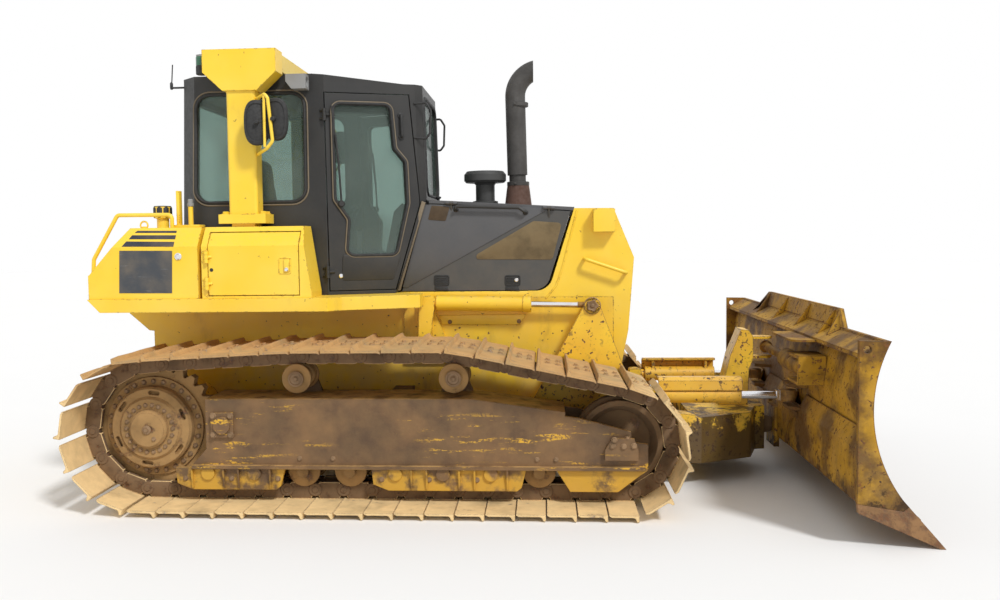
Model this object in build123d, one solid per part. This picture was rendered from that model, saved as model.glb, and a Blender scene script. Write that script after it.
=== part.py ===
from build123d import *

import math
import os

# Crawler dozer: a tracked tractor with a cab, an outside roll-over frame and a power angle-tilt blade.
# Lengths are millimetres. While it is drawn, x runs forward from the sprocket axis, y to the left
# and z up from the ground under the track shoes. Every part is then moved along x, so that the
# origin is on the ground, under the middle of the machine's length and width.

# Track chain and shoes
TRACK_GAUGE = 2130
SHOE_WIDTH = 860
LINK_PITCH = 190
GROUSER_HEIGHT = 33
GROUSER_THICKNESS = 20
SHOE_THICKNESS = 14
SHOE_GAP = 7
PIN_TO_SHOE = 60
PIN_TO_RAIL = 50
STRAND_INNER = 55
STRAND_OUTER = 100

# Wheels that carry the track: sprocket, idler, carrier rollers, track rollers
SPROCKET_TEETH = 28
SPROCKET_HALF_THICKNESS = 38
SPROCKET_FACE = 130
TOOTH_DEPTH = 36
TOOTH_TIP = 6
TOOTH_ROOT_SHARE = 0.42
TOOTH_TIP_SHARE = 0.16
HUB_RADIUS = 262
# Steps of the hub's cover: radius, and how far it stands out of the hub's face
HUB_STEPS = ((0, 62), (112, 62), (128, 44), (128, 18), (196, 18), (210, 0))
HUB_SHOULDER = (12, 20)
HUB_FLANGE_WIDTH = 70
HUB_FLANGE_DEPTH = 16
HUB_SLOT_COUNT = 6
HUB_SLOT_FIRST = 23
HUB_SLOT_RADIUS = 236
HUB_SLOT_SIZE = (78, 26)
HUB_SLOT_DEPTH = 30
IDLER_X = 3093
IDLER_RADIUS = 273
IDLER_HALF_WIDTH = 102
IDLER_FLANGE = 22
IDLER_SHAFT_RADIUS = 52
IDLER_SHAFT_HALF = 190
IDLER_HUB_RADIUS = 84
IDLER_HUB_HALF = 112
IDLER_WEB_HALF = 22
IDLER_WEB_TAPER = 24
IDLER_RIM = 34
IDLER_RIM_SLOPE = 40
CARRIER_XS = (989, 2023)
CARRIER_Z = 851
CARRIER_RADIUS = 82
ROLLER_FIRST_X = 410
ROLLER_SPACING = 309
ROLLER_COUNT = 8
ROLLER_RADIUS = 85
ROLLER_FLANGE = 21
ROLLER_HALF_WIDTH = 105
ROLLER_FLANGE_WIDTH = 16
ROLLER_SHAFT_RADIUS = 38
ROLLER_FACE_STEP = 20
ROLLER_WAIST_DEPTH = 16
CARRIER_FLANGE = 15
RUNNING_GAP = 0.5
CARRIER_SAG = 10

# Track frame
FRAME_HALF_WIDTH = 200
FRAME_REAR_X = 400
FRAME_TO_IDLER = 353
FRAME_BOTTOM = 275
FRAME_TOP = 728
FRAME_FRONT_TOP = 645
FRAME_SLOPE_X = 2150
FRAME_PLATE = 32
FRAME_CHANNEL_TOP = 400
FRAME_TAIL = 115
WHEEL_ROOM = (24, 30)
POST_FOOT_HALF = 110
POST_TOP_HALF = 52
POST_INSET = (62, 22)
FORK_PAST_IDLER = 169
FORK_TOP = 560
FRAME_LIP = 34
FRAME_LIP_HEIGHT = 22
GUARD_BOTTOM = 132
GUARD_SPANS = ((190, 920), (1490, 2490))
GUARD_RIB = 12
GUARD_RIB_DEPTH = 30
GUARD_RIB_FROM_ROLLER = 105
COLLAR_RADIUS = 44
COLLAR_HEIGHT = 16
PIVOT_COVER = ((440, 590), (480, 640))
PIVOT_COVER_THICKNESS = 22
PIVOT_BOSS_RADIUS = 56
BEARING_BLOCK = 36

# Tractor hull
HULL_HALF_WIDTH = 440
HULL_REAR_X = -269
HULL_FRONT_X = 3150
HULL_TOP_FRONT_X = 1660
HULL_FRONT_TOP = 860
SIDE_RAIL_TOP = 1330
TRUNNION_RADIUS = 62
BELLY_Z = 430
AXLE_RADIUS = 225
PIVOT_SHAFT_X = 640
PIVOT_SHAFT_Z = 560
PIVOT_SHAFT_RADIUS = 95
EQUALIZER_X = 1600
EQUALIZER_HALF_LENGTH = 70
EQUALIZER_ZS = (590, 690)
DRAWBAR_HOLE_X = -500
DRAWBAR_HOLE_RADIUS = 26
DRAWBAR_END_RADIUS = 75
DRAWBAR_Z = 470
DRAWBAR_THICKNESS = 70
DRAWBAR_BRACKET_TOP = 760
DRAWBAR_BRACKET_REACH = 120
DRAWBAR_BRACKET_HALF_WIDTH = 180

# Deck, tank and fender boxes
DECK_HALF_WIDTH = 1080
DECK_BOTTOM = 1283
DECK_TOP = 1372
DECK_REAR_X = -462
DECK_FRONT_X = 1570
BOX_WIDTH = 290
BOX_TO_CAB = 22
BOX_CHAMFER_WIDTH = 102
BOX_CHAMFER_Z = 1722
BOX_TOP = 1852
TANK_REAR_X = -462
TANK_FRONT_X = 300
TANK_SLOPE_Z = 1532
TANK_SLOPE_RUNS = (172, 262)
FILLER_PLACE = (-70, -700)
FILLER_NECK_RADIUS = 42
FILLER_CAP_RADIUS = 62
FILLER_CAP_ZS = (66, 150)
FENDER_REAR_X = 325
FENDER_FRONT_X = 1070
FENDER_DOOR_REAR_X = 372
FENDER_DOOR_FRONT_X = 985
PANEL = 26
PANEL_GAP = 6

# Roll-over frame
ROPS_X = 575
ROPS_POST_LENGTH = 200
ROPS_POST_WIDTH = 150
ROPS_POST_OUTER_Y = 905
ROPS_BASE_LENGTH = 325
ROPS_BASE_TOP = 1938
ROPS_OVER_ROOF = 140
ROPS_HEAD_HEIGHT = 277
ROPS_SHOULDER_HEIGHT = 124
ROPS_HEAD_LENGTH = 505
ROPS_POST_FILLET = 22
ROPS_FOOT = 22
MIRROR_DROP = 108
MIRROR_HEIGHT = 280
MIRROR_WIDTH = 210
MIRROR_Y = 1005
MIRROR_REACH = 85

# Cab
CAB_FLOOR = 1372
CAB_TOP = 2850
CAB_ROOF_TOP = 2905
CAB_CENTRE_X = 895
CAB_TAPER = 0.957
CAB_WALL = 46
CAB_REAR_X = 27
CAB_REAR_HALF_WIDTH = 600
CAB_SHOULDER_X = 150
CAB_SHOULDER_HALF_WIDTH = 722
DOOR_HINGE_X = 1112
DOOR_HINGE_Y = 738
CAB_CORNER_X = 1742
CAB_CORNER_Y = 490
CAB_FRONT_X = 1790
CAB_FRONT_HALF_WIDTH = 430
GLASS = 8
GLASS_INSET = 16
FLOOR_PLATE = 30
FIREWALL = 46
FIREWALL_GAP = 6

# Hood, doors and radiator guard
HOOD_HALF_WIDTH = 465
HOOD_REAR_TOP = (1776, 2033)
HOOD_REAR_BOTTOM = (1566, 1376)
HOOD_FRONT_TOP = (2831, 1968)
HOOD_FRONT_BOTTOM = (2648, 1376)
HOOD_SHEET = 24
HOOD_CORNER_RADIUS = 120
HOOD_STRIP_LENGTH = 150
GUARD_FRONT_TOP = (3106, 1957)
GUARD_KNEE = (3249, 1607)
GUARD_LOW = (3208, 1091)
GUARD_FOOT = (3163, 862)
GUARD_PLATE = 30
LAMP_HOOD = ((2960, 3110), (1790, 1950))
LAMP_HOOD_DEPTH = 95
LAMP_HOOD_PLATE = 15
LAMP_BACK_X = 2985
LAMP_RADIUS = 32
LAMP_LENGTH = 70
BEACON_RADIUS = 34
BEACON_HEIGHT = 130
BEACON_Y = -830
GRILLE_X = 3090
GRILLE_DEPTH = 22
GRILLE_RAIL = 34
GRILLE_RAIL_ZS = (900, 1400, 1880)
GRILLE_BAR_HALF = 12
GRILLE_BAR_COUNT = 11
GRILLE_BAR_PITCH = 70
EXHAUST_X = 2425
EXHAUST_Y = -105
EXHAUST_RADIUS = 74
EXHAUST_LEAN = 20
EXHAUST_BEND_Z = 2949
EXHAUST_BEND_RADIUS = 194
EXHAUST_BEND_ANGLE = 75
EXHAUST_MOUTH = 118
PRECLEANER_X = 2178
PRECLEANER_RADIUS = 157

# Dozing frame
FRAME_PIVOT_X = 1995
FRAME_PIVOT_Z = 470
ARM_INNER_Y = 470
ARM_OUTER_Y = 612
LIFT_PLATE_INNER_Y = 588
LIFT_PLATE_OUTER_Y = 618
BALL_X = 4275
BALL_Z = 330
BALL_RADIUS = 64
BALL_GAP = 1
MAST_HALF_WIDTH = 100
MAST_SET_BACK = 115
NOSE_GAP = 36
NOSE_BOTTOM = 165
NOSE_TOP = 490
NOSE_REAR_X = 3640
NOSE_CORNER = (4080, 405)
NOSE_CORNER_RADIUS = 45

# Hydraulic cylinders
LIFT_BASE_X = 1787
LIFT_BASE_Z = 1299
LIFT_EYE_X = 2946
LIFT_EYE_Z = 1277
LIFT_Y = 545
LIFT_RADIUS = 54
LIFT_ROD_RADIUS = 21
LIFT_BARREL_LENGTH = 735
LIFT_PIN_RADIUS = 26
LIFT_EYE_HALF = 36
LIFT_CHEEK = 16
LIFT_LUG_HEIGHT = 299
ANGLE_Y = 532
ANGLE_Z = 637
ANGLE_REAR_X = 3345
ANGLE_FRONT_X = 3980
ANGLE_EYE_X = 4310
ANGLE_RADIUS = 57
ANGLE_ROD_RADIUS = 27
ANGLE_PIN_RADIUS = 24
ANGLE_EYE_HALF = 36
ANGLE_CHEEK = 24
ANGLE_ROOM = 66
TILT_EYE_Z = 915
TILT_BASE = (4318, -930, 880)
TILT_RADIUS = 66
TILT_ROD_RADIUS = 32
TILT_PIN_RADIUS = 24
PIN_CLEARANCE = 0.3
SEAT_GAP = 0.3
HINGE_PIN_RADIUS = 7
HINGE_RADIUS = 14
HINGE_LENGTH = 84
HINGE_STAND_OFF = 20
HINGE_PLAY = 0.6
HINGE_ARM_SHARE = 0.7

# Blade
BLADE_HALF_WIDTH = 1930
BLADE_TOP = (4514, 1162)
BLADE_MIDDLE = (4424, 760)
BLADE_KNEE = (4588, 277)
BLADE_TIP_X = 4826
BLADE_BACK_X = 4340
BLADE_BACK_FOOT = 252
BLADE_SKIN = 26
END_PLATE = 30
CREASE_Z = 660
EDGE_START = 0.14
CLOSING_INSET = 8
CROWN_RIB_YS = (-900, -320, 320, 900)
CROWN_RIB = 20
ROOF_REAR_X = 22
ROOF_DROP = 78
COVER_REACH = 150
COVER_YS = (-1010, -400)
COVER_CORNER_RADIUS = 70
BACK_PANEL = 16
BACK_PANEL_YS = (-640, -136)
BACK_PANEL_RADIUS = 260
END_PLATE_TOP = 1165
END_BIT_DROP = 52
CROWN_TOP = 1272
CROWN_TOP_HALF_WIDTH = 980
CROWN_FOOT_HALF_WIDTH = 1180
EAR_HOLE_RADIUS = 22
EAR_HOLE_X = 44
EAR_HOLE_DROP = 48

# Work lamps on the cab's sides
WORK_LAMP_X = 860
WORK_LAMP_LENGTH = 140
WORK_LAMP_HEIGHT = 100
WORK_LAMP_DEPTH = 95

# Sizes that follow from the ones above
DRAWBAR_REAR_X = DRAWBAR_HOLE_X - DRAWBAR_END_RADIUS
ORIGIN_X = (BLADE_TIP_X + DRAWBAR_REAR_X) / 2

ROPS_TOP = CAB_ROOF_TOP + ROPS_OVER_ROOF
ROPS_HEAD_BOTTOM = ROPS_TOP - ROPS_HEAD_HEIGHT
ROPS_HEAD_SHOULDER = ROPS_HEAD_BOTTOM + ROPS_SHOULDER_HEIGHT
FRAME_FRONT_X = IDLER_X - FRAME_TO_IDLER
FORK_FRONT_X = IDLER_X + FORK_PAST_IDLER
BOX_INNER_Y = DOOR_HINGE_Y + BOX_TO_CAB
BOX_HALF_WIDTH = BOX_INNER_Y + BOX_WIDTH
BOX_TOP_HALF_WIDTH = BOX_HALF_WIDTH - BOX_CHAMFER_WIDTH
TRACK_Y = TRACK_GAUGE / 2
RAIL_Z = GROUSER_HEIGHT + SHOE_THICKNESS + PIN_TO_SHOE + PIN_TO_RAIL
PIN_Z = RAIL_Z - PIN_TO_RAIL
SPROCKET_RADIUS = LINK_PITCH / 2 / math.tan(math.pi / (SPROCKET_TEETH / 2))
SPROCKET_Z = PIN_Z + SPROCKET_RADIUS
IDLER_Z = RAIL_Z + IDLER_RADIUS
ROLLER_Z = RAIL_Z + ROLLER_RADIUS
ROLLER_XS = [ROLLER_FIRST_X + i * ROLLER_SPACING for i in range(ROLLER_COUNT)]


# Shape helpers


def block(x0, x1, y0, y1, z0, z1):
    return Pos((x0 + x1) / 2, (y0 + y1) / 2, (z0 + z1) / 2) * Box(abs(x1 - x0), abs(y1 - y0), abs(z1 - z0))


def outline(points, start, axis):
    """A face from a list of corner points, or of build123d edges, drawn in the plane across axis."""
    place = {
        "x": lambda a, b: (start, a, b),
        "y": lambda a, b: (a, start, b),
        "z": lambda a, b: (a, b, start),
    }[axis]
    return make_face(Polyline([place(a, b) for a, b in points], close=True))


def side_plate(points, y0, y1):
    """An outline in x and z, carried from y0 to y1."""
    return extrude(outline(points, y0, "y"), amount=y1 - y0, dir=(0, 1, 0))


def plan_plate(points, z0, z1):
    """An outline in x and y, carried from z0 to z1."""
    return extrude(outline(points, z0, "z"), amount=z1 - z0, dir=(0, 0, 1))


def front_plate(points, x0, x1):
    """An outline in y and z, carried from x0 to x1."""
    return extrude(outline(points, x0, "x"), amount=x1 - x0, dir=(1, 0, 0))


def bar(start, end, radius):
    """A round bar between two points."""
    run = Vector(*end) - Vector(*start)
    seat = Plane(origin=start, z_dir=run)
    return seat * Cylinder(radius, run.length, align=(Align.CENTER, Align.CENTER, Align.MIN))


def disc(x, z, radius, y0, y1):
    return bar((x, min(y0, y1), z), (x, max(y0, y1), z), radius)


def tube(points, radius, bend):
    """A bent round tube through the points."""
    path = FilletPolyline(points, radius=bend)
    return sweep(Plane(origin=path @ 0, z_dir=path % 0) * Circle(radius), path=path)


def turned(profile, x, y, z):
    """A ring or wheel turned about the y axis from corner points of radius and offset along y."""
    face = make_face(Polyline([(r, w, 0) for r, w in profile], close=True))
    return Pos(x, y, z) * revolve(face, Axis.Y)


def turned_upright(profile, x, y):
    """A round upright piece turned about z from corner points of radius and height."""
    face = make_face(Polyline([(r, 0, h) for r, h in profile], close=True))
    return Pos(x, y, 0) * revolve(face, Axis.Z)


def mirrored(shape):
    return mirror(shape, about=Plane.XZ)


def both(shape):
    return [shape, mirrored(shape)]


def fused(shapes):
    first, *rest = shapes
    return first.fuse(*rest) if rest else first


def joined(shapes):
    """Pieces joined one after another."""
    whole, *rest = shapes
    for piece in rest:
        whole = whole.fuse(piece)
    return whole


def group(shapes):
    """Separate solids that share a node."""
    return Compound(children=[s for shape in shapes for s in shape.solids()])


def hinge(middle, along, fixed_way, moving_way):
    """A hinge's fixed half, which holds the pin, and the half that turns on it."""
    middle, along = Vector(*middle), Vector(*along).normalized()
    half, third = along * (HINGE_LENGTH / 2), along * (HINGE_LENGTH / 6)
    play = along * HINGE_PLAY
    arm = HINGE_RADIUS * HINGE_ARM_SHARE
    fixed = [
        bar(tuple(middle - half), tuple(middle + half), HINGE_PIN_RADIUS),
        bar(tuple(middle - half), tuple(middle - third), HINGE_RADIUS),
        bar(tuple(middle + third), tuple(middle + half), HINGE_RADIUS),
    ]
    reach = Vector(*fixed_way)
    for knuckle in (middle - third * 2, middle + third * 2):
        fixed.append(bar(tuple(knuckle), tuple(knuckle + reach), arm))
    reach = Vector(*moving_way)
    moving = bar(tuple(middle - third + play), tuple(middle + third - play), HINGE_RADIUS)
    moving += bar(tuple(middle), tuple(middle + reach), arm)
    moving -= bar(tuple(middle - half), tuple(middle + half), HINGE_PIN_RADIUS + PIN_CLEARANCE)
    return fused(fixed), moving


# Track


def pin_line():
    """Straight runs and arcs of the chain's pins, from the idler's foot round by the sprocket."""
    over_carrier = CARRIER_Z + CARRIER_RADIUS + PIN_TO_RAIL + CARRIER_SAG
    carriers = [(x, over_carrier) for x in CARRIER_XS]
    idler_radius = math.hypot(IDLER_RADIUS + PIN_TO_RAIL, LINK_PITCH / 2)
    foot = -math.acos(LINK_PITCH / 2 / idler_radius)

    def tangent(point, centre, radius, side):
        """Angle on the circle where a line from the point touches it."""
        dx, dz = point[0] - centre[0], point[1] - centre[1]
        return math.atan2(dz, dx) + side * math.acos(radius / math.hypot(dx, dz))

    leave = tangent(carriers[0], (0, SPROCKET_Z), SPROCKET_RADIUS, 1)
    meet = tangent(carriers[-1], (IDLER_X, IDLER_Z), idler_radius, -1)
    points = [(IDLER_X + LINK_PITCH / 2, PIN_Z), (0, PIN_Z)]
    steps = 90
    for i in range(1, steps + 1):
        a = -math.pi / 2 - (math.pi * 1.5 - leave) * i / steps
        points.append((SPROCKET_RADIUS * math.cos(a), SPROCKET_Z + SPROCKET_RADIUS * math.sin(a)))
    points += carriers
    for i in range(steps + 1):
        a = meet + (foot - meet) * i / steps
        points.append((IDLER_X + idler_radius * math.cos(a), IDLER_Z + idler_radius * math.sin(a)))
    return points


def pins():
    """The chain's pins, evenly spaced along the closed line."""
    line = pin_line()
    runs = [math.dist(a, b) for a, b in zip(line, line[1:])]
    count = round(sum(runs) / LINK_PITCH)
    pitch = sum(runs) / count
    found, travelled, at = [], 0, 0
    for i in range(count):
        while travelled + runs[at] < i * pitch:
            travelled += runs[at]
            at += 1
        share = (i * pitch - travelled) / runs[at]
        a, b = line[at], line[at + 1]
        found.append((a[0] + (b[0] - a[0]) * share, a[1] + (b[1] - a[1]) * share))
    return found


def link_frames():
    """Each link's first pin, its direction along the chain and its outward direction."""
    chain = pins()
    for a, b in zip(chain, chain[1:] + chain[:1]):
        length = math.dist(a, b)
        along = ((b[0] - a[0]) / length, (b[1] - a[1]) / length)
        yield a, along, (-along[1], along[0]), length


def placed(frame, points):
    """Points given along and outward of a link, in x and z."""
    (x, z), along, out, _ = frame
    return [(x + t * along[0] + n * out[0], z + t * along[1] + n * out[1]) for t, n in points]


def track():
    """The closed chain: two strands of links and a shoe with one grouser on every link."""
    frames = list(link_frames())
    strand_face = make_face(Polyline([(x, 0, z) for x, z in mitred(frames, PIN_TO_SHOE)], close=True))
    strand_hole = make_face(Polyline([(x, 0, z) for x, z in mitred(frames, -PIN_TO_RAIL)], close=True))
    strand = extrude(strand_face - strand_hole, amount=STRAND_OUTER - STRAND_INNER, dir=(0, 1, 0))
    shoes = [
        side_plate(placed(frame, shoe_profile(frame[3])), -SHOE_WIDTH / 2, SHOE_WIDTH / 2) for frame in frames
    ]
    strands = [Pos(0, STRAND_INNER, 0) * strand, Pos(0, -STRAND_OUTER, 0) * strand]
    return fused(strands + shoes)


def shoe_profile(length):
    inner, outer = PIN_TO_SHOE, PIN_TO_SHOE + SHOE_THICKNESS
    tip = outer + GROUSER_HEIGHT
    start, end = SHOE_GAP / 2, length - SHOE_GAP / 2
    grouser_end = start + GROUSER_THICKNESS
    return [
        (start, inner),
        (end, inner),
        (end, outer),
        (grouser_end + 6, outer),
        (grouser_end - 4, tip),
        (start, tip),
    ]


def mitred(frames, offset):
    """The chain's line moved outward by offset, with its corners mitred."""
    line = []
    for before, after in zip(frames[-1:] + frames[:-1], frames):
        (x, z), n0, n1 = after[0], before[2], after[2]
        bisector = (n0[0] + n1[0], n0[1] + n1[1])
        size = offset * 2 / (bisector[0] ** 2 + bisector[1] ** 2)
        line.append((x + bisector[0] * size, z + bisector[1] * size))
    return line


# Undercarriage on one side, drawn about y = 0


def sprocket():
    root, tip = SPROCKET_RADIUS - TOOTH_DEPTH, SPROCKET_RADIUS + TOOTH_TIP
    flanks = (
        (-TOOTH_ROOT_SHARE, root),
        (-TOOTH_TIP_SHARE, tip),
        (TOOTH_TIP_SHARE, tip),
        (TOOTH_ROOT_SHARE, root),
    )
    step = 2 * math.pi / SPROCKET_TEETH
    rim = []
    for i in range(SPROCKET_TEETH):
        for share, radius in flanks:
            a = (i + share) * step
            rim.append((radius * math.cos(a), radius * math.sin(a)))
    wheel = side_plate(rim, -SPROCKET_HALF_THICKNESS, SPROCKET_HALF_THICKNESS)
    face, flange_face = -SPROCKET_FACE, -SPROCKET_HALF_THICKNESS - HUB_FLANGE_DEPTH
    wide, deep = HUB_SHOULDER
    profile = [(radius, face - out) for radius, out in HUB_STEPS] + [
        (HUB_RADIUS, face),
        (HUB_RADIUS + wide, face + deep),
        (HUB_RADIUS + wide, flange_face),
        (HUB_RADIUS + HUB_FLANGE_WIDTH, flange_face),
        (HUB_RADIUS + HUB_FLANGE_WIDTH, 0),
        (0, 0),
    ]
    hub = turned(profile, 0, 0, 0)
    slots = [
        Rot(0, 180 - HUB_SLOT_FIRST - i * 360 / HUB_SLOT_COUNT, 0) * hub_slot() for i in range(HUB_SLOT_COUNT)
    ]
    return Pos(0, 0, SPROCKET_Z) * (fused([wheel, hub]) - fused(slots))


def hub_slot():
    """A long slot across the hub's face, on the positive x side."""
    length, width = HUB_SLOT_SIZE
    reach = HUB_SLOT_DEPTH
    face = Plane(origin=(HUB_SLOT_RADIUS, -SPROCKET_FACE + reach, 0), x_dir=(0, 0, 1), z_dir=(0, -1, 0))
    return extrude(face * SlotOverall(length, width), amount=2 * reach)


def idler():
    tread, flange = IDLER_RADIUS - RUNNING_GAP, IDLER_RADIUS + IDLER_FLANGE
    middle = STRAND_INNER - 12
    web, rim = IDLER_WEB_HALF, tread - IDLER_RIM
    profile = [
        (0, -IDLER_SHAFT_HALF),
        (IDLER_SHAFT_RADIUS, -IDLER_SHAFT_HALF),
        (IDLER_SHAFT_RADIUS, -IDLER_HUB_HALF),
        (IDLER_HUB_RADIUS, -IDLER_HUB_HALF),
        (IDLER_HUB_RADIUS, -web - IDLER_WEB_TAPER),
        (rim - IDLER_RIM_SLOPE, -web),
        (rim, -IDLER_HALF_WIDTH),
        (tread, -IDLER_HALF_WIDTH),
        (tread, -middle),
        (flange, -middle + 10),
    ]
    profile += [(r, -w) for r, w in reversed(profile)]
    return turned(profile, IDLER_X, 0, IDLER_Z)


def roller(radius, flange, shaft_in, shaft_out):
    """A flanged roller's profile on its shaft. The strands of the chain run between its flanges."""
    tread, shaft = radius - RUNNING_GAP, ROLLER_SHAFT_RADIUS
    half, edge = ROLLER_HALF_WIDTH, ROLLER_HALF_WIDTH + ROLLER_FLANGE_WIDTH
    waist = STRAND_INNER - 8
    face, hollow = radius - ROLLER_FACE_STEP, radius - ROLLER_WAIST_DEPTH
    return [
        (0, -shaft_out),
        (shaft, -shaft_out),
        (shaft, -edge - 6),
        (face, -edge - 6),
        (radius + flange, -edge + 2),
        (radius + flange, -half),
        (tread, -half),
        (tread, -waist),
        (hollow, -waist + 8),
        (hollow, waist - 8),
        (tread, waist),
        (tread, half),
        (radius + flange, half),
        (radius + flange, edge - 2),
        (face, edge + 6),
        (shaft, edge + 6),
        (shaft, shaft_in),
        (0, shaft_in),
    ]


def rollers():
    shaft_end = FRAME_HALF_WIDTH - FRAME_PLATE
    under = roller(ROLLER_RADIUS, ROLLER_FLANGE, shaft_end, shaft_end)
    over = roller(CARRIER_RADIUS, CARRIER_FLANGE, FRAME_HALF_WIDTH - 20, ROLLER_HALF_WIDTH + 34)
    below = [turned(under, x, 0, ROLLER_Z) for x in ROLLER_XS]
    return below + [turned(over, x, 0, CARRIER_Z) for x in CARRIER_XS]


def track_frame():
    """A box beam open below, with its rollers inside, an idler fork in front and guards below."""
    w, plate = FRAME_HALF_WIDTH, FRAME_PLATE
    side = [
        (FRAME_REAR_X, FRAME_TOP),
        (FRAME_SLOPE_X, FRAME_TOP),
        (FRAME_FRONT_X, FRAME_FRONT_TOP),
        (FRAME_FRONT_X, FRAME_BOTTOM),
        (FRAME_REAR_X - FRAME_TAIL, FRAME_BOTTOM),
        (FRAME_REAR_X, FRAME_CHANNEL_TOP),
    ]
    beam = side_plate(side, -w, w)
    inside = w - plate
    channel = block(
        FRAME_REAR_X - 2 * FRAME_TAIL, FRAME_FRONT_X + 1, -inside, inside, GUARD_BOTTOM, FRAME_CHANNEL_TOP
    )
    around, beside = WHEEL_ROOM
    wheel_room = SPROCKET_HALF_THICKNESS + beside
    sprocket_room = disc(0, SPROCKET_Z, SPROCKET_RADIUS + around, -wheel_room, wheel_room)
    rails = joined([idler_fork(), *roller_guards(), frame_lip()])
    pieces = [beam - channel - sprocket_room, rails, mirrored(rails), pivot_cover()]
    return fused(pieces + carrier_posts())


def idler_fork():
    """Outer plate that holds the idler's shaft, with the bearing block on it."""
    w, plate = FRAME_HALF_WIDTH, FRAME_PLATE
    fork = side_plate(
        [
            (FRAME_FRONT_X - 60, FRAME_FRONT_TOP - 20),
            (FRAME_FRONT_X + 90, FRAME_FRONT_TOP - 40),
            (IDLER_X + 60, FORK_TOP - 40),
            (IDLER_X + 70, IDLER_Z + 20),
            (FORK_FRONT_X, IDLER_Z + 10),
            (FORK_FRONT_X, FRAME_BOTTOM),
            (FORK_FRONT_X - 70, FRAME_BOTTOM - 50),
            (FORK_FRONT_X - 190, GUARD_BOTTOM),
            (FRAME_FRONT_X + 30, GUARD_BOTTOM),
            (FRAME_FRONT_X - 60, FRAME_BOTTOM),
        ],
        -w,
        -w + plate,
    )
    fork -= disc(IDLER_X, IDLER_Z, IDLER_SHAFT_RADIUS + PIN_CLEARANCE, -w - 1, w + 1)
    bearing = side_plate(
        [
            (IDLER_X - 105, IDLER_Z - 88),
            (IDLER_X + 105, IDLER_Z - 88),
            (IDLER_X + 105, IDLER_Z - 20),
            (IDLER_X + 80, IDLER_Z + 52),
            (IDLER_X - 62, IDLER_Z + 52),
            (IDLER_X - 105, IDLER_Z - 20),
        ],
        -w - BEARING_BLOCK,
        -w + 1,
    )
    return fork + bearing


def roller_guards():
    """Plates beside the track rollers, with ribs on both sides of each roller and collars on their shafts."""
    w, plate = FRAME_HALF_WIDTH, FRAME_PLATE
    pieces = []
    for x0, x1 in GUARD_SPANS:
        pieces.append(
            side_plate(
                [
                    (x0, FRAME_BOTTOM + 1),
                    (x1, FRAME_BOTTOM + 1),
                    (x1 - 30, GUARD_BOTTOM + 24),
                    (x1 - 60, GUARD_BOTTOM),
                    (x0 + 110, GUARD_BOTTOM),
                    (x0 + 10, GUARD_BOTTOM + 40),
                ],
                -w,
                -w + plate,
            )
        )
        behind = [x for x in ROLLER_XS if x0 < x < x1]
        pieces += [disc(x, ROLLER_Z, COLLAR_RADIUS, -w - COLLAR_HEIGHT, -w + 1) for x in behind]
        ribs = [x + side for x in behind for side in (-GUARD_RIB_FROM_ROLLER, GUARD_RIB_FROM_ROLLER)]
        margin = GUARD_RIB_FROM_ROLLER / 2
        pieces += [guard_rib(x) for x in ribs if x0 + margin < x < x1 - margin]
    return pieces


def guard_rib(x):
    w = FRAME_HALF_WIDTH
    shape = [
        (-w + 1, FRAME_BOTTOM + 1),
        (-w - GUARD_RIB_DEPTH, FRAME_BOTTOM + 1),
        (-w - GUARD_RIB_DEPTH / 3, GUARD_BOTTOM + GUARD_RIB),
        (-w + 1, GUARD_BOTTOM + GUARD_RIB),
    ]
    return front_plate(shape, x - GUARD_RIB / 2, x + GUARD_RIB / 2)


def frame_lip():
    """Narrow flange along the foot of the beam's side."""
    w, top = FRAME_HALF_WIDTH, FRAME_BOTTOM + FRAME_LIP_HEIGHT
    return block(FRAME_REAR_X - 90, FORK_FRONT_X - 20, -w - FRAME_LIP, -w + 1, FRAME_BOTTOM, top)


def carrier_posts():
    """Brackets on top of the beam that hold the carrier rollers' shafts."""
    w, (deep, shallow) = FRAME_HALF_WIDTH, POST_INSET
    bore = ROLLER_SHAFT_RADIUS + PIN_CLEARANCE
    return [
        side_plate(
            [
                (x - POST_FOOT_HALF, FRAME_TOP - 2),
                (x - POST_TOP_HALF, CARRIER_Z + 20),
                (x + POST_TOP_HALF, CARRIER_Z + 20),
                (x + POST_FOOT_HALF, FRAME_TOP - 2),
            ],
            w - deep,
            w - shallow,
        )
        - disc(x, CARRIER_Z, bore, 0, w)
        for x in CARRIER_XS
    ]


def pivot_cover():
    """Square cover with a round boss, over the end of the pivot shaft."""
    (x0, x1), (z0, z1) = PIVOT_COVER
    w = FRAME_HALF_WIDTH
    face = -w - PIVOT_COVER_THICKNESS
    boss = disc((x0 + x1) / 2, (z0 + z1) / 2, PIVOT_BOSS_RADIUS, face - COLLAR_HEIGHT, face + 1)
    return block(x0, x1, face, -w + 1, z0, z1) + boss


def at_side(shape, side):
    """A piece drawn about y = 0 for the right, put on the right or the left track."""
    return Pos(0, -TRACK_Y, 0) * shape if side == "right" else Pos(0, TRACK_Y, 0) * mirrored(shape)


# Hull


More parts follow.
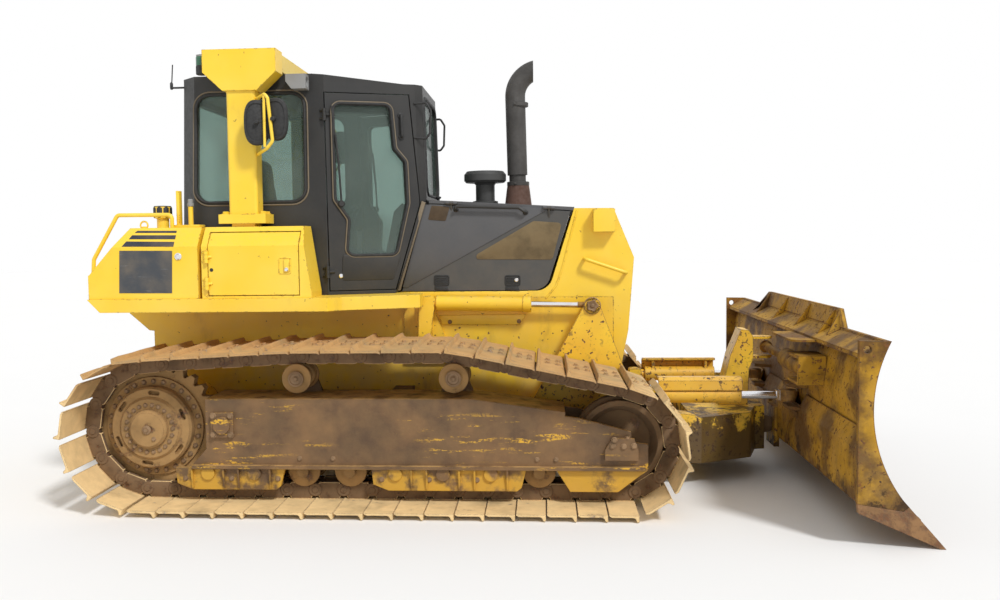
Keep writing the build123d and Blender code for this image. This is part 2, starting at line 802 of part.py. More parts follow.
def main_frame():
    w = HULL_HALF_WIDTH
    hull = side_plate(
        [
            (HULL_REAR_X, 1100),
            (-306, 1104),
            (DECK_REAR_X + 10, DECK_BOTTOM - 52),
            (DECK_REAR_X + 10, DECK_BOTTOM),
            (HULL_TOP_FRONT_X, DECK_BOTTOM),
            (HULL_TOP_FRONT_X, HULL_FRONT_TOP),
            (HULL_FRONT_X, HULL_FRONT_TOP),
            (HULL_FRONT_X, 640),
            (2900, BELLY_Z),
            (120, BELLY_Z),
            (HULL_REAR_X, 560),
        ],
        -w,
        w,
    )
    axle = disc(0, SPROCKET_Z, AXLE_RADIUS, -TRACK_Y + SPROCKET_HALF_THICKNESS + SEAT_GAP, -w + 40)
    flange = disc(0, SPROCKET_Z, AXLE_RADIUS + 50, -TRACK_Y + 190, -TRACK_Y + 240)
    trunnion = disc(FRAME_PIVOT_X, FRAME_PIVOT_Z, TRUNNION_RADIUS, -ARM_OUTER_Y - 8, -w + 10)
    right = [axle, flange, side_rail(), trunnion]
    return fused([hull] + right + [mirrored(s) for s in right])


def lift_lugs():
    """Forked lugs on the body sides, each with the pin of a lift cylinder."""
    eye_in, eye_out = -LIFT_Y + LIFT_EYE_HALF + 2, -LIFT_Y - LIFT_EYE_HALF - 2
    foot = LIFT_BASE_Z - LIFT_LUG_HEIGHT
    inner = side_plate(
        [
            (LIFT_BASE_X - 75, LIFT_BASE_Z + 45),
            (LIFT_BASE_X + 40, LIFT_BASE_Z + 45),
            (LIFT_BASE_X + 40, LIFT_BASE_Z - 55),
            (LIFT_BASE_X + 130, foot),
            (LIFT_BASE_X - 90, foot),
        ],
        eye_in,
        -HOOD_HALF_WIDTH,
    )
    outer = side_plate(
        [
            (LIFT_BASE_X - 58, LIFT_BASE_Z + 50),
            (LIFT_BASE_X + 48, LIFT_BASE_Z + 50),
            (LIFT_BASE_X + 48, LIFT_BASE_Z - 40),
            (LIFT_BASE_X + 20, foot + 60),
            (LIFT_BASE_X - 66, foot + 60),
        ],
        eye_out - LIFT_CHEEK,
        eye_out,
    )
    web = block(LIFT_BASE_X - 66, LIFT_BASE_X + 20, eye_out - 1, eye_in + 1, foot + 60, LIFT_BASE_Z - 120)
    pin = disc(LIFT_BASE_X, LIFT_BASE_Z, LIFT_PIN_RADIUS, eye_out - LIFT_CHEEK, -HOOD_HALF_WIDTH)
    return group(both(fused([inner, outer, web, pin])))


def side_rail():
    """Body side under the hood, behind the lift cylinder."""
    return side_plate(
        [
            (HULL_TOP_FRONT_X - 60, HULL_FRONT_TOP),
            (GUARD_FOOT[0] - 60, HULL_FRONT_TOP),
            (GUARD_FOOT[0] - 60, SIDE_RAIL_TOP),
            (HULL_TOP_FRONT_X - 60, SIDE_RAIL_TOP),
        ],
        -HOOD_HALF_WIDTH,
        -HOOD_HALF_WIDTH + GUARD_PLATE,
    )


def suspension_bars():
    """The pivot shaft behind and the equalizer bar in front, which carry the track frames."""
    reach = TRACK_Y - FRAME_HALF_WIDTH - SEAT_GAP
    start = HULL_HALF_WIDTH + SEAT_GAP
    shafts = both(disc(PIVOT_SHAFT_X, PIVOT_SHAFT_Z, PIVOT_SHAFT_RADIUS, -reach, -start))
    x0, x1 = EQUALIZER_X - EQUALIZER_HALF_LENGTH, EQUALIZER_X + EQUALIZER_HALF_LENGTH
    bars = both(block(x0, x1, -reach, -start, *EQUALIZER_ZS))
    return group(shafts + bars)


def drawbar():
    x1, half = HULL_REAR_X, DRAWBAR_END_RADIUS
    z0, z1 = DRAWBAR_Z, DRAWBAR_Z + DRAWBAR_THICKNESS
    tongue = block(DRAWBAR_HOLE_X, x1 + 120, -half, half, z0, z1)
    tongue += bar((DRAWBAR_HOLE_X, 0, z0), (DRAWBAR_HOLE_X, 0, z1), half)
    tongue -= bar((DRAWBAR_HOLE_X, 0, z0 - 1), (DRAWBAR_HOLE_X, 0, z1 + 1), DRAWBAR_HOLE_RADIUS)
    rear, top = x1 - DRAWBAR_BRACKET_REACH, DRAWBAR_BRACKET_TOP
    bracket = side_plate(
        [(rear, z0), (x1, z0 - 20), (x1, top), (x1 - 40, top), (rear, z1 + 40)],
        -DRAWBAR_BRACKET_HALF_WIDTH,
        DRAWBAR_BRACKET_HALF_WIDTH,
    )
    return fused([tongue - hull_zone(), bracket])


def hull_zone():
    return block(HULL_REAR_X, 400, -500, 500, 0, 2000)


# Deck, tank, fenders


def box_section(inner, outer, top_outer):
    """Right-hand cross-section of the boxes beside the cab, in y and z, with a chamfered shoulder."""
    return [
        (-inner, DECK_TOP),
        (-outer, DECK_TOP),
        (-outer, BOX_CHAMFER_Z),
        (-top_outer, BOX_TOP),
        (-inner, BOX_TOP),
    ]


def fuel_tank():
    """Full-width tank behind the cab, with a sloped back."""
    right = box_section(0, BOX_HALF_WIDTH, BOX_TOP_HALF_WIDTH)[1:-1]
    left = [(-y, z) for y, z in reversed(right)]
    body = front_plate(right + left, TANK_REAR_X, TANK_FRONT_X)
    slope = side_plate(
        [
            (TANK_REAR_X - 10, TANK_SLOPE_Z + 8),
            (TANK_REAR_X + 4, TANK_SLOPE_Z),
            (TANK_REAR_X + TANK_SLOPE_RUNS[0], BOX_CHAMFER_Z),
            (TANK_REAR_X + TANK_SLOPE_RUNS[1], BOX_TOP + 1),
            (TANK_REAR_X - 10, BOX_TOP + 1),
        ],
        -2 * BOX_HALF_WIDTH,
        2 * BOX_HALF_WIDTH,
    )
    cab_notch = block(CAB_REAR_X - 40, TANK_FRONT_X + 1, -BOX_INNER_Y, BOX_INNER_Y, DECK_TOP - 1, BOX_TOP + 1)
    neck, cap = FILLER_NECK_RADIUS, FILLER_CAP_RADIUS
    low, high = (BOX_TOP + rise for rise in FILLER_CAP_ZS)
    profile = [(0, BOX_TOP - 5), (neck, BOX_TOP - 5), (neck, low), (cap, low + 6), (cap, high), (0, high + 6)]
    return fused([body - slope - cab_notch, turned_upright(profile, *FILLER_PLACE)])


def fender_door_outline(grow):
    x0, x1 = FENDER_DOOR_REAR_X - grow, FENDER_DOOR_FRONT_X + grow
    z0, z1 = DECK_TOP + 22 - grow, BOX_TOP - 40
    return x0, x1, z0, z1 + grow


def fender_box():
    """Box beside the cab, closed but for the compartment behind its side door."""
    section = box_section(BOX_INNER_Y, BOX_HALF_WIDTH, BOX_TOP_HALF_WIDTH)
    body = front_plate(section, FENDER_REAR_X, FENDER_FRONT_X)
    front_slope = side_plate(
        [
            (FENDER_FRONT_X + 1, DECK_TOP + 30),
            (FENDER_FRONT_X + 1, BOX_TOP + 1),
            (FENDER_FRONT_X - 66, BOX_TOP + 1),
        ],
        -2 * BOX_HALF_WIDTH,
        0,
    )
    x0, x1, z0, z1 = fender_door_outline(PANEL_GAP)
    inset = PANEL + 8
    recess = front_plate(box_section_band(0, inset, z0, z1), x0, x1)
    return fused([body - front_slope - recess] + [fixed for fixed, _ in fender_hinges()])


def fender_hinge_axis():
    """A point on the right-hand door's hinge line, and the line's direction."""
    return (FENDER_DOOR_REAR_X - 8, -BOX_HALF_WIDTH - HINGE_STAND_OFF + 4, DECK_TOP), (0, 0, 1)


def fender_hinges():
    (x, y, _), along = fender_hinge_axis()
    return [
        hinge((x, y, z), along, (-26, HINGE_STAND_OFF, 0), (30, HINGE_STAND_OFF + 2, 0))
        for z in (DECK_TOP + 100, BOX_CHAMFER_Z - 70)
    ]


def box_section_band(outer_inset, inner_inset, z0, z1):
    """Cross-section of a sheet that follows the box's side and chamfer, between two depths."""
    run = BOX_TOP - BOX_CHAMFER_Z
    lean = (BOX_HALF_WIDTH - BOX_TOP_HALF_WIDTH) / run

    def at(inset, z):
        return (-(BOX_HALF_WIDTH - inset - max(0, z - BOX_CHAMFER_Z) * lean), z)

    outer = [at(outer_inset, z) for z in (z0, BOX_CHAMFER_Z, z1)]
    inner = [at(inner_inset, z) for z in (z1, BOX_CHAMFER_Z, z0)]
    return outer + inner


def fender_door():
    x0, x1, z0, z1 = fender_door_outline(0)
    panel = front_plate(box_section_band(1, PANEL, z0, z1), x0, x1)
    return fused([panel] + [moving for _, moving in fender_hinges()])


def deck():
    """Platform plates that carry the tank, the boxes and the cab."""
    right = [
        (DECK_REAR_X, 0),
        (DECK_REAR_X, -DECK_HALF_WIDTH),
        (FENDER_FRONT_X + 110, -DECK_HALF_WIDTH),
        (FENDER_FRONT_X + 190, -DECK_HALF_WIDTH + 90),
        (DECK_FRONT_X + 190, -DECK_HALF_WIDTH + 300),
        (DECK_FRONT_X + 190, -HOOD_HALF_WIDTH - 8),
        (DECK_FRONT_X, -HOOD_HALF_WIDTH - 8),
        (DECK_FRONT_X, 0),
    ]
    left = [(x, -y) for x, y in reversed(right)][1:-1]
    plate = plan_plate(right + left, DECK_BOTTOM, DECK_TOP)
    rear, low = DECK_REAR_X - 1, DECK_BOTTOM - 1
    reach = 2 * DECK_HALF_WIDTH
    bevel = side_plate([(rear, DECK_TOP + 1), (rear, low), (DECK_REAR_X + 88, low)], -reach, reach)
    return plate - bevel - lug_zone()


def lug_zone():
    """Room in the deck for the lift cylinders' lugs."""
    x0, x1, top = LIFT_BASE_X - 140, LIFT_BASE_X + 200, LIFT_BASE_Z + 110
    return fused(both(block(x0, x1, -LIFT_Y - 70, -HULL_HALF_WIDTH, HULL_FRONT_TOP, top)))


# Roll-over frame


def rops_frame():
    """Two posts bolted to the fender boxes and a boxed head beam across the cab."""
    outer, inner = ROPS_POST_OUTER_Y, ROPS_POST_OUTER_Y - ROPS_POST_WIDTH
    half = ROPS_POST_LENGTH / 2
    rear, front, foot_top = ROPS_X - ROPS_BASE_LENGTH / 2, ROPS_X + ROPS_BASE_LENGTH / 2, BOX_TOP + ROPS_FOOT
    base = block(rear, front, -outer - 30, -inner + 20, foot_top, ROPS_BASE_TOP)
    foot = block(ROPS_X - half + 20, ROPS_X + half - 20, -outer, -inner, BOX_TOP, foot_top + 2)
    post = block(ROPS_X - half, ROPS_X + half, -outer, -inner, ROPS_BASE_TOP - 2, ROPS_HEAD_BOTTOM + 5)
    post = fillet(post.edges().filter_by(Axis.Z), ROPS_POST_FILLET)
    head_half = ROPS_HEAD_LENGTH / 2
    head = side_plate(
        [
            (ROPS_X - half - 18, ROPS_HEAD_BOTTOM),
            (ROPS_X + half + 18, ROPS_HEAD_BOTTOM),
            (ROPS_X + head_half, ROPS_HEAD_SHOULDER),
            (ROPS_X + head_half, ROPS_TOP),
            (ROPS_X - head_half, ROPS_TOP),
            (ROPS_X - head_half, ROPS_HEAD_SHOULDER),
        ],
        -outer - 14,
        -inner + 6,
    )
    x0, x1 = ROPS_X - head_half + 60, ROPS_X + head_half - 20
    beam = block(x0, x1, -inner - 2, inner + 2, CAB_ROOF_TOP + 18, ROPS_TOP - 4)
    right = [base, foot, post, head]
    return fused([beam] + right + [mirrored(s) for s in right])


# Cab


def cab_plan(inset):
    """Corners of the cab's plan at floor level, moved in by about the inset."""
    right = [
        (CAB_REAR_X + inset, CAB_REAR_HALF_WIDTH - inset * 0.6),
        (CAB_SHOULDER_X + inset * 0.6, CAB_SHOULDER_HALF_WIDTH - inset),
        (DOOR_HINGE_X, DOOR_HINGE_Y - inset),
        (CAB_CORNER_X - inset * 0.6, CAB_CORNER_Y - inset * 0.75),
        (CAB_FRONT_X - inset, CAB_FRONT_HALF_WIDTH - inset * 0.6),
    ]
    return [(x, -y) for x, y in right] + [(x, y) for x, y in reversed(right)]


def cab_block(inset, top):
    """The cab's outer form, or the form inside its walls: a plan that tapers upward."""
    floor = CAB_FLOOR + (0 if inset == 0 else 20)

    def section(z):
        scale = cab_scale(z)
        points = [(CAB_CENTRE_X + (x - CAB_CENTRE_X) * scale, y * scale) for x, y in cab_plan(inset)]
        return outline(points, z, "z")

    return loft([section(floor), section(top)], ruled=True)


def firewall_zone(shift):
    """Everything ahead of the cab's sloping lower front, where the hood is."""
    (xt, zt), (xb, zb) = HOOD_REAR_TOP, HOOD_REAR_BOTTOM
    return side_plate(
        [
            (xb - 60 - shift, zb - 120),
            (xb - shift, zb),
            (xt - shift, zt),
            (xt + 400, zt),
            (xt + 400, zb - 120),
        ],
        -1000,
        1000,
    )


def cab_skin(outer, inner):
    """The cab's wall between two depths below its outer surface."""
    return cab_block(outer, CAB_TOP) - cab_block(inner, CAB_TOP)


def door_wall_point(x, z):
    """A point of side-view x and z on the right-hand door's plane at floor level."""
    share = (x - DOOR_HINGE_X) / (CAB_CORNER_X - DOOR_HINGE_X)
    return (x, -DOOR_HINGE_Y + share * (DOOR_HINGE_Y - CAB_CORNER_Y), z)


def door_normal():
    dx, dy = CAB_CORNER_X - DOOR_HINGE_X, DOOR_HINGE_Y - CAB_CORNER_Y
    size = math.hypot(dx, dy)
    return Vector(dy / size, -dx / size, 0)


def door_prism(points, radius=0):
    """An outline in side view, carried straight through the right-hand door's wall."""
    reach = 150
    face = make_face(Polyline([door_wall_point(x, z) for x, z in points], close=True))
    if radius:
        face = fillet(face.vertices(), radius)
    normal = door_normal()
    return extrude(face.moved(Location(normal * -reach)), amount=2 * reach, dir=normal)


DOOR_OUTLINE = [
    (DOOR_HINGE_X + 14, 1402),
    (1560, 1402),
    (1735, 2010),
    (1700, 2430),
    (1672, 2772),
    (DOOR_HINGE_X + 6, 2772),
]
DOOR_WINDOW = [
    (1236, 1500),
    (1528, 1500),
    (1642, 2010),
    (1632, 2300),
    (1560, 2390),
    (1536, 2690),
    (1176, 2690),
    (1180, 2040),
    (1270, 1900),
]
SIDE_WINDOW = [(185, 2035), (955, 2035), (955, 2765), (205, 2765)]
BACK_WINDOW = [(-470, 1960), (470, 1960), (440, 2750), (-440, 2750)]
WINDSHIELD = [(-375, 2085), (375, 2085), (360, 2770), (-360, 2770)]
WINDOW_RADIUS = 85


def grown(points, by):
    """An outline moved outward about its middle."""
    cx = sum(p[0] for p in points) / len(points)
    cz = sum(p[1] for p in points) / len(points)
    return [(x + math.copysign(by, x - cx), z + math.copysign(by, z - cz)) for x, z in points]


def side_window_prism():
    face = fillet(outline(SIDE_WINDOW, -900, "y").vertices(), WINDOW_RADIUS)
    return extrude(face, amount=1800, dir=(0, 1, 0))


def end_window_prism(points, x0, x1):
    face = fillet(outline(points, x0, "x").vertices(), WINDOW_RADIUS)
    return extrude(face, amount=x1 - x0, dir=(1, 0, 0))


def cab_windows():
    return [
        side_window_prism(),
        end_window_prism(BACK_WINDOW, CAB_REAR_X - 100, CAB_REAR_X + 200),
        end_window_prism(WINDSHIELD, CAB_FRONT_X - 200, CAB_FRONT_X + 100),
    ]


def cab_shell():
    """Walls, floor, sloping fire wall and roof, with the window and door openings cut."""
    walls = cab_skin(0, CAB_WALL)
    floor, ahead = cab_block(0, CAB_FLOOR + FLOOR_PLATE), firewall_zone(FIREWALL_GAP)
    lower_front = (cab_block(0, CAB_TOP) - ahead) & firewall_zone(FIREWALL)
    shell = fused([walls - ahead, floor - ahead, lower_front])
    doorway = door_prism(grown(DOOR_OUTLINE, PANEL_GAP))
    for cut in cab_windows() + both(doorway):
        shell -= cut
    fixed = [half for half, _ in cab_hinges()]
    return fused([shell, cab_roof()] + fixed + [mirrored(half) for half in fixed])


def cab_scale(z):
    """How much smaller the cab's plan is at a height than at its floor."""
    return 1 - (1 - CAB_TAPER) * (z - CAB_FLOOR) / (CAB_TOP - CAB_FLOOR)


def cab_side_at(x, z):
    """Half width of the cab's side wall at a place and height, behind the door."""
    scale = cab_scale(z)
    plan_x = CAB_CENTRE_X + (x - CAB_CENTRE_X) / scale
    share = (plan_x - CAB_SHOULDER_X) / (DOOR_HINGE_X - CAB_SHOULDER_X)
    return scale * (CAB_SHOULDER_HALF_WIDTH + share * (DOOR_HINGE_Y - CAB_SHOULDER_HALF_WIDTH))


def cab_hinge_point(z):
    """The right-hand door's hinge line at a height, just outside the pillar's edge."""
    scale = cab_scale(z)
    x = CAB_CENTRE_X + (DOOR_HINGE_X - CAB_CENTRE_X) * scale
    return (x + 4, -DOOR_HINGE_Y * scale - HINGE_STAND_OFF, z)


def cab_hinges():
    along = Vector(*cab_hinge_point(CAB_TOP)) - Vector(*cab_hinge_point(CAB_FLOOR))
    to_post, to_door = (-32, HINGE_STAND_OFF + 2, 0), (40, 2 * HINGE_STAND_OFF - 2, 0)
    return [
        hinge(cab_hinge_point(z), tuple(along), to_post, to_door) for z in (CAB_FLOOR + 160, CAB_TOP - 230)
    ]


def cab_roof():
    """Roof panel, falling to the front, with a lip over the windshield."""
    scale = CAB_TAPER
    points = [(CAB_CENTRE_X + (x - CAB_CENTRE_X) * scale, y * scale) for x, y in cab_plan(0)]
    slab = plan_plate(points, CAB_TOP - 60, CAB_ROOF_TOP)
    over, ahead = CAB_ROOF_TOP + 1, CAB_FRONT_X + 110
    slope = [(950, over), (ahead, over), (ahead, CAB_ROOF_TOP - 80), (1020, CAB_ROOF_TOP)]
    fall = side_plate(slope, -900, 900)
    return slab - fall


def cab_glass():
    skin = cab_skin(GLASS_INSET, GLASS_INSET + GLASS)
    return group([skin & window for window in cab_windows()])


def cab_door():
    panel = cab_skin(0, CAB_WALL - 4) & door_prism(DOOR_OUTLINE)
    panel = panel - door_prism(DOOR_WINDOW, 40) - firewall_zone(0)
    return fused([panel] + [moving for _, moving in cab_hinges()])


def door_glass():
    return cab_skin(GLASS_INSET, GLASS_INSET + GLASS) & door_prism(DOOR_WINDOW, 40)


def seat():
    """Driver's seat: pedestal, cushion and back."""
    base = block(520, 860, -190, 190, CAB_FLOOR + FLOOR_PLATE, 1640)
    cushion = fillet(block(470, 960, -260, 260, 1640, 1780).edges().filter_by(Axis.Z), 60)
    back = side_plate([(430, 1760), (560, 1780), (450, 2420), (340, 2420)], -240, 240)
    return fused([base, cushion, back])


def console():
    """Control boxes on both sides of the seat, with their levers."""
    floor = CAB_FLOOR + FLOOR_PLATE
    right = block(640, 1120, -500, -300, floor, 1830)
    lever = bar((1040, -400, 1820), (1085, -400, 1990), 16)
    knob = Pos(1090, -400, 2010) * Sphere(34)
    side = fused([right, lever, knob])
    dash = side_plate([(1380, floor), (1480, floor), (1620, 1990), (1560, 2020), (1500, 1960)], -210, 210)
    return group([side, mirrored(side), dash])


# Engine end


def hood_side_points(inset):
    """Corners of the engine door, with its round lower front corner third."""
    (a, b), (c, d) = HOOD_REAR_TOP, HOOD_REAR_BOTTOM
    (e, f), h = HOOD_FRONT_TOP, HOOD_FRONT_BOTTOM[1]
    return [
        (a + 18 + inset, b - inset - 26),
        (c + 18 + inset * 1.4, d + inset),
        (hood_end_x(h) - inset * 4, h + inset),
        (e - inset * 7, f - inset - 26),
    ]


def rounded_plate(points, corner, radius, y0, y1):
    """A side plate with one corner of its outline rounded."""
    face = outline(points, y0, "y")
    x, z = points[corner]
    nearest = face.vertices().sort_by_distance((x, y0, z))[0]
    return extrude(fillet([nearest], radius), amount=y1 - y0, dir=(0, 1, 0))


def hood_end_x(z):
    """Where the hood ends and the radiator guard begins at a height."""
    (e, f), (g, h) = HOOD_FRONT_TOP, HOOD_FRONT_BOTTOM
    low_x, low_z = g + 14, h + 56
    return low_x + (e - low_x) * (z - low_z) / (f - low_z)


def hood():
    """Hood top sheet with turned-down edges, which the side doors hang from."""
    (a, b), (e, f) = HOOD_REAR_TOP, HOOD_FRONT_TOP
    w = HOOD_HALF_WIDTH
    front = (hood_end_x(f - HOOD_SHEET), f - HOOD_SHEET)
    top = side_plate([(a + 18, b), (e, f), front, (a + 18, b - HOOD_SHEET)], -w, w)
    inner = -w + HOOD_SHEET + 8
    edge = side_plate([(a + 18, b), (e, f), (e - 24, f - 60), (a + 18, b - 60)], inner, inner + HOOD_SHEET)
    fixed = [half for half, _ in engine_hinges()]
    return fused([top] + both(edge) + fixed + [mirrored(half) for half in fixed])


def engine_hinge_point(x):
    """The right-hand engine door's hinge line, beside the edge of the hood's top sheet."""
    return (x, -HOOD_HALF_WIDTH - HINGE_STAND_OFF + 4, hood_top_at(x) - HOOD_SHEET / 2 - 2)


def engine_hinges():
    ends = (HOOD_REAR_TOP[0] + 180, HOOD_FRONT_TOP[0] - 180)
    along = Vector(*engine_hinge_point(ends[1])) - Vector(*engine_hinge_point(ends[0]))
    to_hood, to_door = (0, HINGE_STAND_OFF + 4, 0), (0, HINGE_STAND_OFF + 4, -70)
    return [hinge(engine_hinge_point(x), tuple(along), to_hood, to_door) for x in ends]


def engine_door():
    """Side door of the engine bay, hung from its top edge."""
    w = HOOD_HALF_WIDTH
    panel = rounded_plate(hood_side_points(4), 2, HOOD_CORNER_RADIUS, -w, -w + HOOD_SHEET)
    return fused([panel] + [moving for _, moving in engine_hinges()])


def engine_block():
    return block(1800, 2660, -230, 230, HULL_FRONT_TOP + SEAT_GAP, 1780)


def radiator():
    return block(2880, 3010, -380, 380, GUARD_FOOT[1] + GUARD_PLATE + SEAT_GAP, 1880)


def guard_points():
    """Corners of the radiator guard's side, the last but one round, below the engine door's corner."""
    (x, z), rail_top = HOOD_FRONT_BOTTOM, HOOD_FRONT_BOTTOM[1] - 46
    strip_x = x - HOOD_STRIP_LENGTH
    return [
        (hood_end_x(HOOD_FRONT_TOP[1] - 8) + SEAT_GAP, HOOD_FRONT_TOP[1] - 8),
        GUARD_FRONT_TOP,
        GUARD_KNEE,
        GUARD_LOW,
        GUARD_FOOT,
        (GUARD_FOOT[0] - 420, GUARD_FOOT[1]),
        (GUARD_FOOT[0] - 420, rail_top),
        (strip_x, rail_top),
        (strip_x, z),
        (hood_end_x(z) + SEAT_GAP, z),
    ]


def radiator_guard():
    """Side plates, top and foot around the radiator, with lamp hoods at the top corners."""
    w, t = HOOD_HALF_WIDTH, GUARD_PLATE
    whole = rounded_plate(guard_points(), -1, HOOD_CORNER_RADIUS, -w, w)
    bay = side_plate(
        [
            (HOOD_FRONT_BOTTOM[0] - 300, GUARD_FOOT[1] + t),
            (GUARD_FOOT[0] + 200, GUARD_FOOT[1] + t),
            (GUARD_FOOT[0] + 200, GUARD_FRONT_TOP[1] - t),
            (HOOD_FRONT_TOP[0] - 500, GUARD_FRONT_TOP[1] - t),
        ],
        -w + t,
        w - t,
    )
    (x0, x1), (z0, z1) = LAMP_HOOD
    sheet = LAMP_HOOD_PLATE
    room = block(LAMP_BACK_X, x1 + 20, -w - LAMP_HOOD_DEPTH + sheet, -w - sheet + 1, z0 + sheet, z1 - sheet)
    lamp_hood = block(x0, x1, -w - LAMP_HOOD_DEPTH, -w + 2, z0, z1) - room
    return fused([whole - bay - rail_zone()] + both(lamp_hood))


def rail_zone():
    """Room for the hull's side rails and front, which reach into the guard."""
    gap, w = 0.2, HOOD_HALF_WIDTH
    x0, x1, low = HULL_TOP_FRONT_X - 160, GUARD_FOOT[0] - 60 + gap, HULL_FRONT_TOP - 60
    rail = block(x0, x1, -w - 1, -w + GUARD_PLATE + gap, low, SIDE_RAIL_TOP + gap)
    front = block(x0, HULL_FRONT_X + gap, -w + 5, w - 5, low, HULL_FRONT_TOP + gap)
    return fused(both(rail) + [front])


def front_grille():
    """Upright bars in a frame across the radiator opening."""
    w = HOOD_HALF_WIDTH - GUARD_PLATE - SEAT_GAP
    x, depth, rail = GRILLE_X, GRILLE_DEPTH, GRILLE_RAIL
    low, top = GRILLE_RAIL_ZS[0], GRILLE_RAIL_ZS[-1] + rail
    rails = [block(x, x + depth, -w, w, z, z + rail) for z in GRILLE_RAIL_ZS]
    stiles = both(block(x, x + depth, -w, -w + rail, low, top))
    bar_ys = [(i - (GRILLE_BAR_COUNT - 1) / 2) * GRILLE_BAR_PITCH for i in range(GRILLE_BAR_COUNT)]
    half = GRILLE_BAR_HALF
    bars = [block(x + 4, x + depth - 4, y - half, y + half, low + 10, top - 14) for y in bar_ys]
    return fused(rails + stiles + bars)


def exhaust_stack():
    """Upright pipe with a heat shield, bent forward and cut off upright at its mouth."""
    flange = EXHAUST_RADIUS + 22
    foot = hood_top_at(EXHAUST_X - flange) + SEAT_GAP
    bend = (EXHAUST_X - EXHAUST_LEAN, EXHAUST_Y, EXHAUST_BEND_Z)
    angle, reach = math.radians(EXHAUST_BEND_ANGLE), 400
    end = (bend[0] + reach * math.sin(angle), EXHAUST_Y, bend[2] + reach * math.cos(angle))
    path = FilletPolyline([(EXHAUST_X, EXHAUST_Y, foot), bend, end], radius=EXHAUST_BEND_RADIUS)

    def along(radius, start):
        """The pipe's path from a share of its length on, at a radius."""
        run = path.trim(start, 1)
        return sweep(Plane(origin=run @ 0, z_dir=run % 0) * Circle(radius), path=run)

    base = bar((EXHAUST_X, EXHAUST_Y, foot), (EXHAUST_X, EXHAUST_Y, foot + 20), flange)
    whole = fused([along(EXHAUST_RADIUS - 12, 0), along(EXHAUST_RADIUS, 0.17), base])
    mouth_x = EXHAUST_X + EXHAUST_MOUTH
    whole -= block(mouth_x, mouth_x + 2 * reach, EXHAUST_Y - reach, EXHAUST_Y + reach, foot, foot + 4 * reach)
    return whole - along(EXHAUST_RADIUS - 16, 0.5)


def precleaner():
    r = PRECLEANER_RADIUS
    foot = hood_top_at(PRECLEANER_X - 95) + 0.3
    return turned_upright(
        [
            (0, foot),
            (95, foot),
            (95, foot + 14),
            (71, foot + 20),
            (71, 2150),
            (86, 2168),
            (r - 14, 2168),
            (r, 2182),
            (r, 2228),
            (r - 20, 2252),
            (0, 2258),
        ],
        PRECLEANER_X,
        EXHAUST_Y,
    )


def hood_top_at(x):
    (a, b), (e, f) = HOOD_REAR_TOP, HOOD_FRONT_TOP
    return b + (f - b) * (x - a - 18) / (e - a - 18)


# Lift cylinder on the right


def lift_axis():
    start = Vector(LIFT_BASE_X, -LIFT_Y, LIFT_BASE_Z)
    end = Vector(LIFT_EYE_X, -LIFT_Y, LIFT_EYE_Z)
    return start, end, (end - start).normalized()


def lift_barrel():
    start, _, along = lift_axis()
    rear, front = start + along * 62, start + along * LIFT_BARREL_LENGTH
    barrel = bar(tuple(rear), tuple(front), LIFT_RADIUS)
    gland = bar(tuple(front - along * 60), tuple(front), LIFT_RADIUS + 5)
    eye = disc(LIFT_BASE_X, LIFT_BASE_Z, 52, -LIFT_Y - LIFT_EYE_HALF, -LIFT_Y + LIFT_EYE_HALF)
    neck = bar(tuple(start + along * 20), tuple(start + along * 80), 36)
    whole = fused([barrel, gland, eye, neck])
    whole -= disc(LIFT_BASE_X, LIFT_BASE_Z, LIFT_PIN_RADIUS + PIN_CLEARANCE, -LIFT_Y - 100, -LIFT_Y + 100)
    return whole - bar(tuple(start + along * 150), tuple(front + along * 10), LIFT_ROD_RADIUS + PIN_CLEARANCE)


def lift_rod():
    start, end, along = lift_axis()
    rod = bar(tuple(start + along * (LIFT_BARREL_LENGTH - 250)), tuple(end - along * 30), LIFT_ROD_RADIUS)
    eye = disc(LIFT_EYE_X, LIFT_EYE_Z, 50, -LIFT_Y - 34, -LIFT_Y + 34)
    return fused([rod, eye])


# Dozing frame


